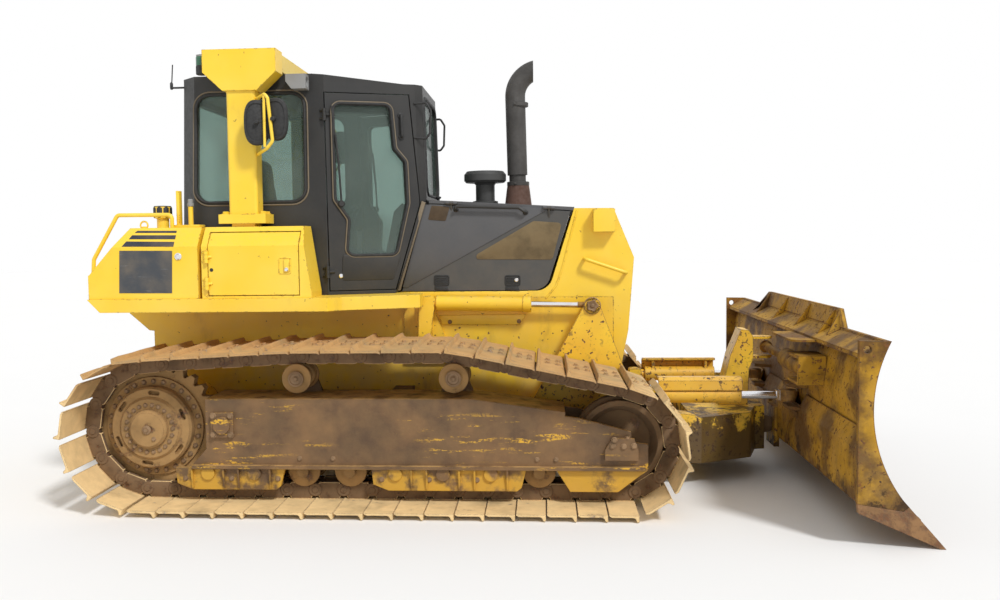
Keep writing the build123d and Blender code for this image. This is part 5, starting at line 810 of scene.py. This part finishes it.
# Bolts of the pivot, the roller guards and the lip, as metres ahead of the sprocket, height and radius
SIDE_BOLTS = [(x, z, 0.017) for z in (0.498, 0.622) for x in (0.458, 0.572)]
SIDE_BOLTS += [(first + 0.309 * i, 0.205, 0.014) for first in (0.255, 1.555) for i in range(3)]
SIDE_BOLTS += [(x, 0.34, 0.013) for x in (1.02, 1.24, 2.56, 2.68)]


def from_side(node, x, z):
    """A place on a node, seen straight from the right."""
    return hit(node, (x, -3.0, z), (0, 1, 0))


@paired("bolt")
def track_frame_bolts(shape):
    for pixel in BEARING_BOLTS:
        shape.bolt(*seen("track_frame_right", pixel), BEARING_BOLT_RADIUS)
    for x, z, radius in SIDE_BOLTS:
        shape.bolt(*from_side("track_frame_right", ahead(x), z), radius)


@paired("bolt")
def carrier_caps(shape):
    for x, _ in CARRIERS:
        place, _ = from_side("rollers_right", x, CARRIER_AXIS_Z)
        rings = [(0.052, -0.004), (0.052, 0.006), (0.040, 0.009), (0.036, 0.004), (0.022, 0.004)]
        shape.lathe(rings, place, OUTWARD, 24)
        shape.bolt(place + OUTWARD * 0.003, OUTWARD, 0.015)


# Engine door: raised upper panel, screen, vent, handle, two latches and a lock

DOOR_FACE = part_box("engine_door_right")[0].y + 0.030
PANEL_CORNERS = ((425.0, 204.6), (550.0, 208.2), (407.5, 287.6), (402.6, 287.4))
SCREEN_CORNERS = ((533.6, 221.0), (562.0, 222.8), (552.5, 259.6), (476.4, 259.3), (476.4, 254.6))
VENT_CORNERS = ((431.6, 205.6), (449.9, 206.8), (445.7, 221.0), (428.0, 219.8))
HANDLE_LINE = ((456.0, 209.5), (456.0, 206.6), (519.0, 208.0), (525.6, 212.5))
LATCH_CORNERS = (((434.5, 275.8), (448.7, 285.3)), ((505.3, 275.8), (519.7, 285.3)))
LATCH_LOCK = (516.5, 280.0)
LATCH_EDGE, LATCH_RIBS = 0.008, 4
PANEL_RISE, HANDLE_STAND = 0.006, 0.042


def on_door(pixels):
    return [in_plane(pixel, DOOR_FACE) for pixel in pixels]


@paired("charcoal", "engine_door")
def engine_door_panel(shape):
    shape.prism(on_door(PANEL_CORNERS), OUTWARD * PANEL_RISE, 0.002)


@paired("screen", "engine_door")
def engine_door_screen(shape):
    shape.prism(rounded(on_door(SCREEN_CORNERS), 0.025, True), OUTWARD * 0.004, 0.0015)


@paired("vent", "engine_door")
def engine_door_vent(shape):
    raised = [place + OUTWARD * PANEL_RISE for place in on_door(VENT_CORNERS)]
    shape.prism(rounded(raised, 0.010, True), OUTWARD * 0.003, 0.001)


@paired("cab", "engine_door")
def engine_door_handle(shape):
    first, rise, far, last = on_door(HANDLE_LINE)
    stand = OUTWARD * HANDLE_STAND
    path = [first, first + stand, rise + stand, far + stand, last + stand, last]
    shape.tube(rounded(path, 0.022), 0.011, 12)
    for foot in (first, last):
        shape.lathe([(0.020, 0.0), (0.020, 0.007), (0.014, 0.012)], foot, OUTWARD, 16)


@paired("rubber", "engine_door")
def engine_door_latches(shape):
    for corners in LATCH_CORNERS:
        (x0, _, z1), (x1, _, z0) = on_door(corners)
        edge, y = LATCH_EDGE, DOOR_FACE
        ring = [(x0, y, z0), (x1, y, z0), (x1, y, z1), (x0, y, z1)]
        shape.tube(rounded(ring, 0.012, True), 0.0055, 8, True)
        height = (z1 - z0 - 2 * edge) / LATCH_RIBS
        for i in range(LATCH_RIBS):
            low = z0 + edge + i * height
            top = low + height
            shape.block((x0 + edge, y - 0.008, low + 0.002), (x1 - edge, y + 0.001, top - 0.002), 0.002)
        flap = [(x0, y, z0 - 0.006), (x1 - 0.012, y, z0 - 0.006), (x1, y, z0 - 0.040), (x0, y, z0 - 0.034)]
        shape.prism(flap, OUTWARD * 0.005, 0.002)


@paired("chrome", "engine_door")
def engine_door_lock(shape):
    place = in_plane(LATCH_LOCK, DOOR_FACE - 0.008)
    shape.lathe([(0.014, 0.0), (0.014, 0.006), (0.011, 0.008), (0.009, 0.005)], place, OUTWARD, 18)


# Tank: stripes, blank panel, locks, lifting eyes and filler knob

STRIPES = (
    ((137.5, 230.9), (176.9, 230.9), (176.4, 233.0), (134.8, 233.0)),
    ((132.3, 235.4), (176.0, 235.4), (175.2, 239.3), (128.8, 239.3)),
    ((126.4, 241.6), (174.4, 242.0), (173.3, 246.8), (121.6, 246.8)),
)
SIGN_CORNERS = ((119.4, 250.8), (172.1, 250.8), (172.1, 293.2), (119.4, 293.2))
TANK_LOCK = (178.3, 256.5)
TANK_LOCK_RINGS = [(0.024, -0.002), (0.024, 0.006), (0.017, 0.010), (0.013, 0.004)]
TANK_EYE, EYE_RADIUS, EYE_STEPS = (ahead(-0.14), -0.86), 0.026, 20
FILLER = (ahead(-0.070), -0.700, 2.004)
FILLER_RINGS = [(0.062, -0.078), (0.068, -0.072), (0.068, -0.012), (0.060, 0.004), (0.030, 0.006)]


def flat_on(shape, node, pixels, thickness):
    """A thin plate whose corners lie on a node where the photograph shows them."""
    hits = [seen(node, pixel) for pixel in pixels]
    way = hits[0][1]
    shape.prism([place - way * 0.001 for place, _ in hits], way * thickness, 0.0)


@paired("navy")
def tank_stripes(shape):
    for corners in STRIPES:
        flat_on(shape, "fuel_tank", corners, 0.0028)


@paired("panel")
def tank_panel(shape):
    flat_on(shape, "fuel_tank", SIGN_CORNERS, 0.0032)


pair("tank_lock", turned("fuel_tank", TANK_LOCK, TANK_LOCK_RINGS, 20), "chrome")


@paired("yellow")
def tank_eyes(shape):
    place, _ = hit("fuel_tank", (*TANK_EYE, 3.0), (0, 0, -1))
    turns = [math.tau * k / EYE_STEPS for k in range(EYE_STEPS)]
    ring = [place + Vector((EYE_RADIUS * math.cos(a), 0, 0.020 + EYE_RADIUS * math.sin(a))) for a in turns]
    shape.tube(ring, 0.006, 8, True)
    shape.lathe([(0.020, -0.004), (0.020, 0.006), (0.012, 0.012)], place, UP, 16)


knob = Shape()
knob.lathe(FILLER_RINGS, FILLER, UP, 48, 8, 0.10)
piece("filler_knob", knob, "rubber")


# Fender doors: latch pocket, lock and plug

POCKET_CORNERS = ((279.2, 257.8), (290.6, 257.8), (290.6, 273.4), (279.2, 273.4))
POCKET_LOCK = (286.7, 269.6)
POCKET_LOCK_RINGS = [(0.014, 0.0), (0.014, 0.014), (0.011, 0.017), (0.008, 0.014)]
FENDER_PLUG = (211.5, 270.0)
FENDER_PLUG_RINGS = [(0.012, -0.001), (0.012, 0.002), (0.008, 0.004)]


@paired("yellow", "fender_door")
def fender_latch(shape):
    places = [seen("fender_door_right", pixel)[0] for pixel in POCKET_CORNERS]
    shape.tube(rounded(places, 0.008, True), 0.005, 8, True)
    (x0, y, z1), (x1, _, z0) = places[0], places[2]
    shape.block((x0 + 0.030, y - 0.010, z0 + 0.012), (x1 - 0.006, y + 0.001, z1 - 0.010), 0.003)


pair("fender_lock", turned("fender_door_right", POCKET_LOCK, POCKET_LOCK_RINGS), "chrome", "fender_door")
pair("fender_plug", turned("fender_door_right", FENDER_PLUG, FENDER_PLUG_RINGS), "rubber", "fender_door")


# Roll-over frame: base bolts and beacon

ROPS_FOOT = Vector((ahead(0.575), 0, 1.938))
ROPS_BOLT_RADIUS = 0.021
ROPS_BOLTS = [(x, y) for x in (-0.130, 0.130) for y in (-0.880, -0.785)]


@paired("bolt_yellow")
def rops_bolts(shape):
    for x, y in ROPS_BOLTS:
        shape.bolt(ROPS_FOOT + Vector((x, y, 0)), UP, ROPS_BOLT_RADIUS)


BEACON_PLACE = (ahead(0.2882), -0.830, 2.895)
BEACON_RINGS = [(0.036, 0.058), (0.037, 0.062), (0.037, 0.112), (0.030, 0.128), (0.014, 0.136)]
beacon = Shape()
beacon.lathe(BEACON_RINGS, BEACON_PLACE, UP, 28)
piece("beacon_lens", beacon, "green")
foot = Shape()
foot.lathe([(0.030, -0.004), (0.038, 0.0), (0.038, 0.050), (0.035, 0.058)], BEACON_PLACE, UP, 28)
piece("beacon_foot", foot, "rubber")


# Cab: window seals, the doors' foot sheets, grips, wipers and bolts, front hoops, dusty strips and aerial

SIDE_WINDOW = ((0.185, 2.035), (0.955, 2.035), (0.955, 2.765), (0.205, 2.765))
BACK_WINDOW = ((-0.470, 1.960), (0.470, 1.960), (0.440, 2.750), (-0.440, 2.750))
WINDSHIELD = ((-0.375, 2.085), (0.375, 2.085), (0.360, 2.770), (-0.360, 2.770))
DOOR_WINDOW = (
    (1.250, 1.655), (1.562, 1.655), (1.642, 2.010), (1.632, 2.300), (1.560, 2.390),
    (1.536, 2.690), (1.176, 2.690), (1.180, 2.040), (1.270, 1.900),
)
DOOR_FOOT = ((1.205, 1.470), (1.548, 1.470), (1.600, 1.650), (1.212, 1.650))
WINDOW_RADIUS, DOOR_WINDOW_RADIUS = 0.085, 0.040
DOOR_HINGE, DOOR_CORNER = Vector((ahead(1.112), -0.738, 0)), Vector((ahead(1.742), -0.490, 0))
DOOR_WAY = Vector((DOOR_CORNER.y - DOOR_HINGE.y, DOOR_HINGE.x - DOOR_CORNER.x, 0)).normalized()
DOOR_BOLT = (341.0, 276.0)
DOOR_BOLT_RINGS = [(0.015, -0.001), (0.015, 0.005), (0.010, 0.009)]
CAB_DOOR_FACE = DOOR_WAY * (seen("cab_door_right", DOOR_BOLT)[0] - DOOR_HINGE).dot(DOOR_WAY)
SEAL_OUT, LINE_OUT, DOOR_LINE_OUT = 0.010, 0.030, 0.022
SEAL_RADIUS, LINE_RADIUS = 0.011, 0.0055


def outset(points, by):
    """A closed outline moved outward."""
    moved = []
    for i, (x, z) in enumerate(points):
        before, after = points[i - 1], points[(i + 1) % len(points)]
        a = Vector((x - before[0], z - before[1])).normalized()
        b = Vector((after[0] - x, after[1] - z)).normalized()
        normal = Vector((a.y + b.y, -a.x - b.x))
        moved.append(Vector((x, z)) + normal * (by * 2 / normal.length_squared))
    return moved


def seal_line(outline, by, bend):
    """The line of a strip around a window, as points of its outline's plane."""
    corners = [(p.x, p.y, 0.0) for p in outset(outline, by)]
    return rounded(corners, bend + by, True, 6)


def seal(shape, node, outline, by, radius, place_of, way):
    """A rubber strip laid on a node around a window."""
    line = seal_line(outline, by, WINDOW_RADIUS)
    shape.tube([hit(node, place_of(p.x, p.y), way)[0] for p in line], radius, 8, True)


def side_place(x, z):
    return (ahead(x), -2.0, z)


def door_place(x, z):
    """A point on the door's outer face."""
    share = (ahead(x) - DOOR_HINGE.x) / (DOOR_CORNER.x - DOOR_HINGE.x)
    return DOOR_HINGE.lerp(DOOR_CORNER, share) + CAB_DOOR_FACE + Vector((0, 0, z))


def side_seal(shape, by=SEAL_OUT, radius=SEAL_RADIUS):
    seal(shape, "cab_shell", SIDE_WINDOW, by, radius, side_place, (0, 1, 0))


def door_seal(shape, by=SEAL_OUT, radius=SEAL_RADIUS):
    line = seal_line(DOOR_WINDOW, by, DOOR_WINDOW_RADIUS)
    shape.tube([door_place(p.x, p.y) for p in line], radius, 8, True)


def door_foot(shape):
    """The sheet that closes the door below its pane."""
    corners = [door_place(x, z) - DOOR_WAY * 0.012 for x, z in DOOR_FOOT]
    shape.prism(rounded(corners, 0.020, True), DOOR_WAY * 0.016, 0.002)


pair("side_window_seal", side_seal, "rubber")
pair("side_window_line", lambda shape: side_seal(shape, LINE_OUT, LINE_RADIUS), "seal")
pair("door_foot_sheet", door_foot, "cab", "cab_door")
pair("door_window_seal", door_seal, "rubber", "cab_door")
pair("door_window_line", lambda shape: door_seal(shape, DOOR_LINE_OUT, LINE_RADIUS), "seal", "cab_door")
ends = Shape()
seal(ends, "cab_shell", BACK_WINDOW, SEAL_OUT, SEAL_RADIUS, lambda y, z: (-4.0, y, z), (1, 0, 0))
seal(ends, "cab_shell", WINDSHIELD, SEAL_OUT, SEAL_RADIUS, lambda y, z: (2.0, y, z), (-1, 0, 0))
piece("end_window_seals", ends, "rubber")

GRIP_TOP, GRIP_FOOT, GRIP_STAND = (400.4, 115.5), (401.4, 137.0), 0.026
WIPER_PIVOT, WIPER_KNEE, WIPER_TIP = (341.6, 203.7), (338.4, 160.0), (335.2, 134.5)
WIPER_OUT, BLADE_BACK = 0.020, 0.014


@paired("rubber", "cab_door")
def door_grip(shape):
    (top, way), (low, _) = seen("cab_door_right", GRIP_TOP), seen("cab_door_right", GRIP_FOOT)
    stand = way * GRIP_STAND
    shape.tube(rounded([top, top + stand, low + stand, low], 0.014), 0.010, 12)
    for place in (top, low):
        shape.lathe([(0.022, -0.001), (0.022, 0.005), (0.015, 0.009)], place, way, 18)


def off_door(pixel, out):
    """A point that the photograph shows in front of the door, so far off the door's plane."""
    way = sight(pixel)
    anchor = seen("cab_door_right", DOOR_BOLT)[0] + DOOR_WAY * out
    return CAMERA_PLACE + way * ((anchor - CAMERA_PLACE).dot(DOOR_WAY) / way.dot(DOOR_WAY))


@paired("rubber", "cab_door")
def door_wiper(shape):
    pivot, knee, tip = (off_door(pixel, WIPER_OUT) for pixel in (WIPER_PIVOT, WIPER_KNEE, WIPER_TIP))
    shape.lathe([(0.024, -0.050), (0.024, -0.004), (0.018, 0.006)], pivot, DOOR_WAY, 20)
    shape.tube([pivot, knee, tip], 0.007, 8)
    run = (tip - knee).normalized()
    back = DOOR_WAY * BLADE_BACK
    shape.tube([tip - run * 0.26 - back, tip + run * 0.20 - back], 0.006, 8)


pair("door_bolt", turned("cab_door_right", DOOR_BOLT, DOOR_BOLT_RINGS), "chrome", "cab_door")

CAB_STRIP = ((421.6, 201.0), (425.4, 202.4), (400.2, 290.6), (396.6, 290.6))
STRIP_Y = -0.486
FRONT_HOOP = (
    (414.0, 103.5), (426.0, 102.8), (430.6, 110.0), (430.0, 133.0), (426.0, 138.6), (414.0, 137.6),
)
HOOP_Y = -0.478
AERIAL_TOP, AERIAL_FOOT, AERIAL_Y = (172.5, 64.8), (171.6, 88.0), -0.545


@paired("rubber")
def front_hoops(shape):
    shape.tube(rounded([in_plane(pixel, HOOP_Y) for pixel in FRONT_HOOP], 0.022), 0.0085, 10)


@paired("seal")
def cab_strip(shape):
    """The dusty strip between the cab and the hood."""
    shape.prism([in_plane(pixel, STRIP_Y) for pixel in CAB_STRIP], (0, 0.030, 0), 0.003)


aerial = Shape()
foot, top = in_plane(AERIAL_FOOT, AERIAL_Y), in_plane(AERIAL_TOP, AERIAL_Y)
wall, _ = hit("cab_shell", foot + Vector((-1, 0, 0)), (1, 0, 0))
aerial.tube([foot, top], 0.0045, 8)
aerial.lathe([(0.008, -0.012), (0.011, 0.0), (0.011, 0.030), (0.006, 0.040)], foot, UP, 14)
aerial.tube([foot, Vector((wall.x + 0.01, foot.y, foot.z))], 0.007, 8)
piece("aerial", aerial, "rubber")


# Lamps, mirrors and posts

HEAD_LAMP = (ahead(3.0553), -0.5125, 1.870)
HEAD_LENS_RINGS = [(0.0315, -0.001), (0.0315, 0.004), (0.024, 0.009), (0.010, 0.011)]
WORK_LAMP_BOX = 0.0475
WORK_LAMP = (ahead(0.972), WORK_LAMP_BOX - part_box("lamps")[1].y, 2.840)
WORK_LENS_RINGS = [(0.0345, -0.001), (0.0345, 0.006), (0.022, 0.011)]


@paired("clear")
def lamp_lenses(shape):
    shape.lathe(HEAD_LENS_RINGS, HEAD_LAMP, (1, 0, 0), 28)
    shape.lathe(WORK_LENS_RINGS, WORK_LAMP, (1, 0, 0), 28)


MIRROR_Y = -1.005
# Each housing's middle pixel, half width, half height and turn in degrees
MIRRORS = (((256.8, 122.5), 0.085, 0.150, 35), ((275.0, 119.2), 0.085, 0.140, -30))
# Rings of a housing, as the share of its size and how far out they lie
HOUSING_RINGS = (
    (0.88, -0.030), (1.0, -0.024), (1.0, -0.004), (0.96, 0.004), (0.84, 0.008), (0.80, 0.002), (0.5, 0.012),
)
HOUSING_STEPS = 40
HOOP_LINE = (
    (253.0, 99.0), (264.5, 94.0), (267.5, 98.0), (272.6, 141.0), (267.0, 148.5), (254.0, 154.5),
)
HOOP_POST = ((263.6, 96.0), (264.8, 147.0))
HOOP_FOOT_X, HOOP_FOOT_Y = ahead(0.676), -0.870


def mirror_heads(shape):
    """Two oval housings, turned apart, with a rim around their backs."""
    for pixel, half_width, half_height, angle in MIRRORS:
        place = in_plane(pixel, MIRROR_Y - 0.02)
        way = Vector((math.sin(math.radians(angle)) * 0.35, -1, 0)).normalized()
        side, rings = way.cross(UP).normalized(), []
        for grow, deep in HOUSING_RINGS:
            ring = []
            for k in range(HOUSING_STEPS):
                a = math.tau * k / HOUSING_STEPS
                across, upward = (math.copysign(abs(v) ** 0.75, v) for v in (math.cos(a), math.sin(a)))
                point = place + side * (across * half_width * grow)
                ring.append(point + Vector((0, 0, upward * half_height * grow)) + way * deep)
            rings.append(ring)
        shape.skin(rings)
        shape.lathe([(0.016, 0.0), (0.016, 0.030), (0.010, 0.036)], place + way * 0.010, way, 16)


def mirror_hoops(shape):
    line = [in_plane(pixel, MIRROR_Y - 0.045) for pixel in HOOP_LINE]
    for end in (0, -1):
        line[end] = Vector((HOOP_FOOT_X, HOOP_FOOT_Y, in_plane(HOOP_LINE[end], HOOP_FOOT_Y).z))
    shape.tube(rounded(line, 0.030), 0.0115, 12)
    shape.tube([in_plane(pixel, MIRROR_Y - 0.040) for pixel in HOOP_POST], 0.0095, 10)


for side, sign in SIDES:
    shape = Shape()
    mirror_heads(shape)
    shape.look = 1
    mirror_hoops(shape)
    if sign > 0:
        shape.mirror()
    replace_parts(piece(f"mirror_set_{side}", shape, "rubber", more_looks=("yellow",)), "mirrors")

POST_PLACE, _ = hit("fuel_tank", (ahead(0.140), -0.800, 3.0), (0, 0, -1))
POST_AHEAD = 0.030
POST_CAP_RINGS = [
    (0.019, 0.146), (0.023, 0.150), (0.023, 0.166), (0.018, 0.170), (0.018, 0.192), (0.012, 0.198),
]


@paired("yellow")
def rear_posts(shape):
    x, y, z = POST_PLACE
    shape.block((x - 0.070, y - 0.060, z - 0.002), (x + 0.110, y + 0.060, z + 0.020), 0.005)
    shape.block((x - 0.062, y - 0.030, z + 0.016), (x - 0.040, y + 0.030, z + 0.255), 0.004)
    shape.lathe([(0.017, 0.016), (0.017, 0.150)], (x + POST_AHEAD, y, z), UP, 20)


@paired("grey")
def post_caps(shape):
    x, y, z = POST_PLACE
    shape.lathe(POST_CAP_RINGS, (x + POST_AHEAD, y, z), UP, 20)


# Exhaust: clamps and rusty foot, and the knob on the hood

EXHAUST = Vector((ahead(2.425), -0.105, 0))
# Clamps, as the pixel at their height and the stack's radius there
CLAMPS = (((518.0, 105.0), 0.077), ((518.0, 184.0), 0.080))
FOOT_RINGS = [(0.104, -0.004), (0.100, 0.008), (0.086, 0.120), (0.081, 0.150)]
KNOB, KNOB_Y = (438.4, 198.5), -0.300
KNOB_RINGS = [(0.010, -0.002), (0.010, 0.014), (0.020, 0.020), (0.020, 0.030), (0.012, 0.034)]

stack = Shape()
for pixel, radius in CLAMPS:
    z = in_plane(pixel, EXHAUST.y).z
    outer, inner = radius + 0.003, radius - 0.002
    rings = [(inner, -0.016), (outer, -0.013), (outer, 0.013), (inner, 0.016)]
    stack.lathe(rings, EXHAUST + Vector((0, 0, z)), UP, 32)
    stack.bolt(EXHAUST + Vector((-0.02, -radius - 0.004, z)), OUTWARD, 0.008)
piece("exhaust_clamps", stack, "exhaust")
base = Shape()
top, _ = hit("hood", EXHAUST + Vector((0, -0.2, 3.0)), (0, 0, -1))
base.lathe(FOOT_RINGS, EXHAUST + Vector((0, 0, top.z)), UP, 36)
piece("exhaust_foot", base, "rusty")
knob = Shape()
place, _ = hit("hood", in_plane(KNOB, KNOB_Y) + UP, (0, 0, -1))
knob.lathe(KNOB_RINGS, place, UP, 18)
piece("hood_knob", knob, "rubber")


# Radiator guard, hull and hood: edge strip, folded strip with its bolts, and sill

STRIP_LINE = ((577.0, 210.5), (562.5, 267.0), (556.0, 286.0), (546.0, 298.0))
FOLD_CORNERS = ((438.7, 315.4), (526.0, 314.2), (520.0, 324.8), (442.0, 324.8))
FOLD_BOLTS = ((449.9, 321.9), (519.0, 321.3))
FOLD_Y = -0.478


@paired("yellow")
def guard_strip(shape):
    shape.tube(rounded(on_door(STRIP_LINE), 0.060), 0.008, 8)


@paired("yellow")
def fold_strip(shape):
    shape.prism([in_plane(pixel, FOLD_Y) for pixel in FOLD_CORNERS], (0, 0.020, 0), 0.005)


@paired("bolt")
def fold_bolts(shape):
    for pixel in FOLD_BOLTS:
        shape.bolt(in_plane(pixel, FOLD_Y), OUTWARD, 0.012)


SILL = ((ahead(1.575), -0.464, 1.328), (ahead(2.655), -0.440, 1.3745))


@paired("yellow")
def hood_sill(shape):
    """The folded sheet between the side rail and the engine door."""
    shape.block(*SILL, 0.003)


# Dozing frame and blade: pin heads and the cutting edge's bolts

LIFT_EYE = Vector((ahead(2.946), -0.618, 1.277))
EDGE_BOLT_YS = [-1.80 + 0.20 * i for i in range(19)]
EDGE_BOLT_Z, EDGE_BOLT_RADIUS = 0.130, 0.016
PIN_WASHER_RINGS = [(0.060, -0.002), (0.060, 0.010), (0.054, 0.014)]
PIN_HEAD_RINGS = [(0.044, 0.010), (0.044, 0.026), (0.038, 0.032), (0.020, 0.026)]


@paired("bolt", "dozing_frame")
def lift_pin_heads(shape):
    shape.lathe(PIN_WASHER_RINGS, LIFT_EYE, OUTWARD, 32)
    shape.lathe(PIN_HEAD_RINGS, LIFT_EYE, OUTWARD, 40, 5, 0.22)
    shape.bolt(LIFT_EYE + OUTWARD * 0.026, OUTWARD, 0.012)


edge = Shape()
for y in EDGE_BOLT_YS:
    edge.bolt(*hit("cutting_edge", (4.0, y, EDGE_BOLT_Z), (-1, 0, 0)), EDGE_BOLT_RADIUS)
piece("cutting_edge_bolts", edge, "bolt", "blade")


# Seat: cushion and backrest over the pedestal

SEAT_VOXEL, SEAT_SWELL = 0.012, 0.022
SEAT_FRAMES, SEAT_PRESSURE = 20, 4.0
CUSHION_BOX = ((ahead(0.480), -0.250, 1.650), (ahead(0.950), 0.250, 1.765))
BACK_LINE = ((0.445, 1.790), (0.545, 1.800), (0.445, 2.405), (0.355, 2.400))
PEDESTAL = ((ahead(0.520), -0.190, 1.402), (ahead(0.860), 0.190, 1.645))
FOLDS, FOLD_FROM, FOLD_PITCH, FOLD_HEIGHT = 5, 0.050, 0.032, 0.028


def swell(obj):
    """Blows a pad up from its plain shape as sewn cloth, a little way."""
    remesh = obj.modifiers.new("remesh", "REMESH")
    remesh.voxel_size = SEAT_VOXEL
    bpy.context.view_layer.objects.active = obj
    bpy.ops.object.modifier_apply(modifier="remesh")
    before = [v.co.copy() for v in obj.data.vertices]
    sim = obj.modifiers.new("cloth", "CLOTH")
    sim.settings.use_pressure = True
    sim.settings.uniform_pressure_force = SEAT_PRESSURE
    sim.settings.effector_weights.gravity = 0.0
    for number in range(1, SEAT_FRAMES + 1):
        bpy.context.scene.frame_set(number)
    bpy.ops.object.modifier_apply(modifier="cloth")
    bpy.context.scene.frame_set(1)
    for vert, old in zip(obj.data.vertices, before):
        step = vert.co - old
        if step.length > SEAT_SWELL:
            vert.co = old + step.normalized() * SEAT_SWELL
    obj.modifiers.new("smooth", "SUBSURF").levels = 1
    obj.data.polygons.foreach_set("use_smooth", [True] * len(obj.data.polygons))


cushion = Shape()
cushion.block(*CUSHION_BOX, 0.040)
back = Shape()
back.prism([(ahead(x), -0.230, z) for x, z in BACK_LINE], (0, 0.460, 0), 0.034)
for name, shape in (("seat_cushion", cushion), ("seat_back", back)):
    pad = piece(name, shape, "cloth")
    swell(pad)
    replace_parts(pad, "seat")
stand = Shape()
stand.block(*PEDESTAL, 0.012)
(x0, y0, foot_z), (x1, y1, _) = PEDESTAL
for i in range(FOLDS):
    z = foot_z + FOLD_FROM + FOLD_PITCH * i
    grow = 0.006 + 0.010 * (i % 2)
    stand.block((x0 - grow, y0 - grow, z), (x1 + grow, y1 + grow, z + FOLD_HEIGHT), 0.008)
piece("seat_pedestal", stand, "rubber")


# Stage, light and camera

FLOOR_RADIUS, FLOOR_TONES = 60.0, ((0.86, 0.86, 0.855), (0.88, 0.88, 0.875))
SKY_LEVEL, SEEN_LEVEL = 0.62, 1.0
KEY_ENERGY, KEY_ANGLE, KEY_WAY = 2.3, math.radians(9), Vector((-0.50, 0.62, -0.80))


def stage():
    """A pale floor, an even sky that shows white, and one soft sun."""
    bpy.ops.mesh.primitive_circle_add(vertices=96, radius=FLOOR_RADIUS, fill_type="NGON")
    floor = bpy.context.object
    floor.name = "floor"
    n = Nodes("pale_floor")
    floor.data.materials.append(n.finish(n.mix(n.noise(0.6, 3.0), *FLOOR_TONES), 0.9))
    world = bpy.data.worlds.new("studio")
    bpy.context.scene.world = world
    world.use_nodes = True
    tree = world.node_tree
    path = tree.nodes.new("ShaderNodeLightPath")
    shown = path.outputs["Is Camera Ray"]
    for ray in ("Is Glossy Ray", "Is Transmission Ray"):
        either = tree.nodes.new("ShaderNodeMath")
        either.operation = "MAXIMUM"
        tree.links.new(shown, either.inputs[0])
        tree.links.new(path.outputs[ray], either.inputs[1])
        shown = either.outputs[0]
    strength = tree.nodes.new("ShaderNodeMapRange")
    strength.inputs["To Min"].default_value = SKY_LEVEL
    strength.inputs["To Max"].default_value = SEEN_LEVEL
    tree.links.new(shown, strength.inputs["Value"])
    background = tree.nodes["Background"]
    tree.links.new(strength.outputs[0], background.inputs["Strength"])
    background.inputs["Color"].default_value = (1.0, 1.0, 1.0, 1.0)
    key = bpy.data.lights.new("key", "SUN")
    key.energy, key.angle = KEY_ENERGY, KEY_ANGLE
    lamp = bpy.data.objects.new("key", key)
    bpy.context.scene.collection.objects.link(lamp)
    lamp.rotation_euler = KEY_WAY.to_track_quat("-Z", "Y").to_euler()


def camera():
    data = bpy.data.cameras.new("camera")
    data.sensor_width = SENSOR
    data.lens = FOCAL_PIXELS / IMAGE_WIDTH * SENSOR
    data.shift_x = 0.5 - CENTRE_PIXEL / IMAGE_WIDTH
    eye = bpy.data.objects.new("camera", data)
    bpy.context.scene.collection.objects.link(eye)
    turn = Matrix((VIEW_RIGHT, VIEW_UP, -VIEW_AHEAD)).transposed()
    eye.matrix_world = Matrix.Translation(CAMERA_PLACE) @ turn.to_4x4()
    bpy.context.scene.camera = eye


stage()
camera()
bpy.context.scene.view_settings.view_transform = "Standard"
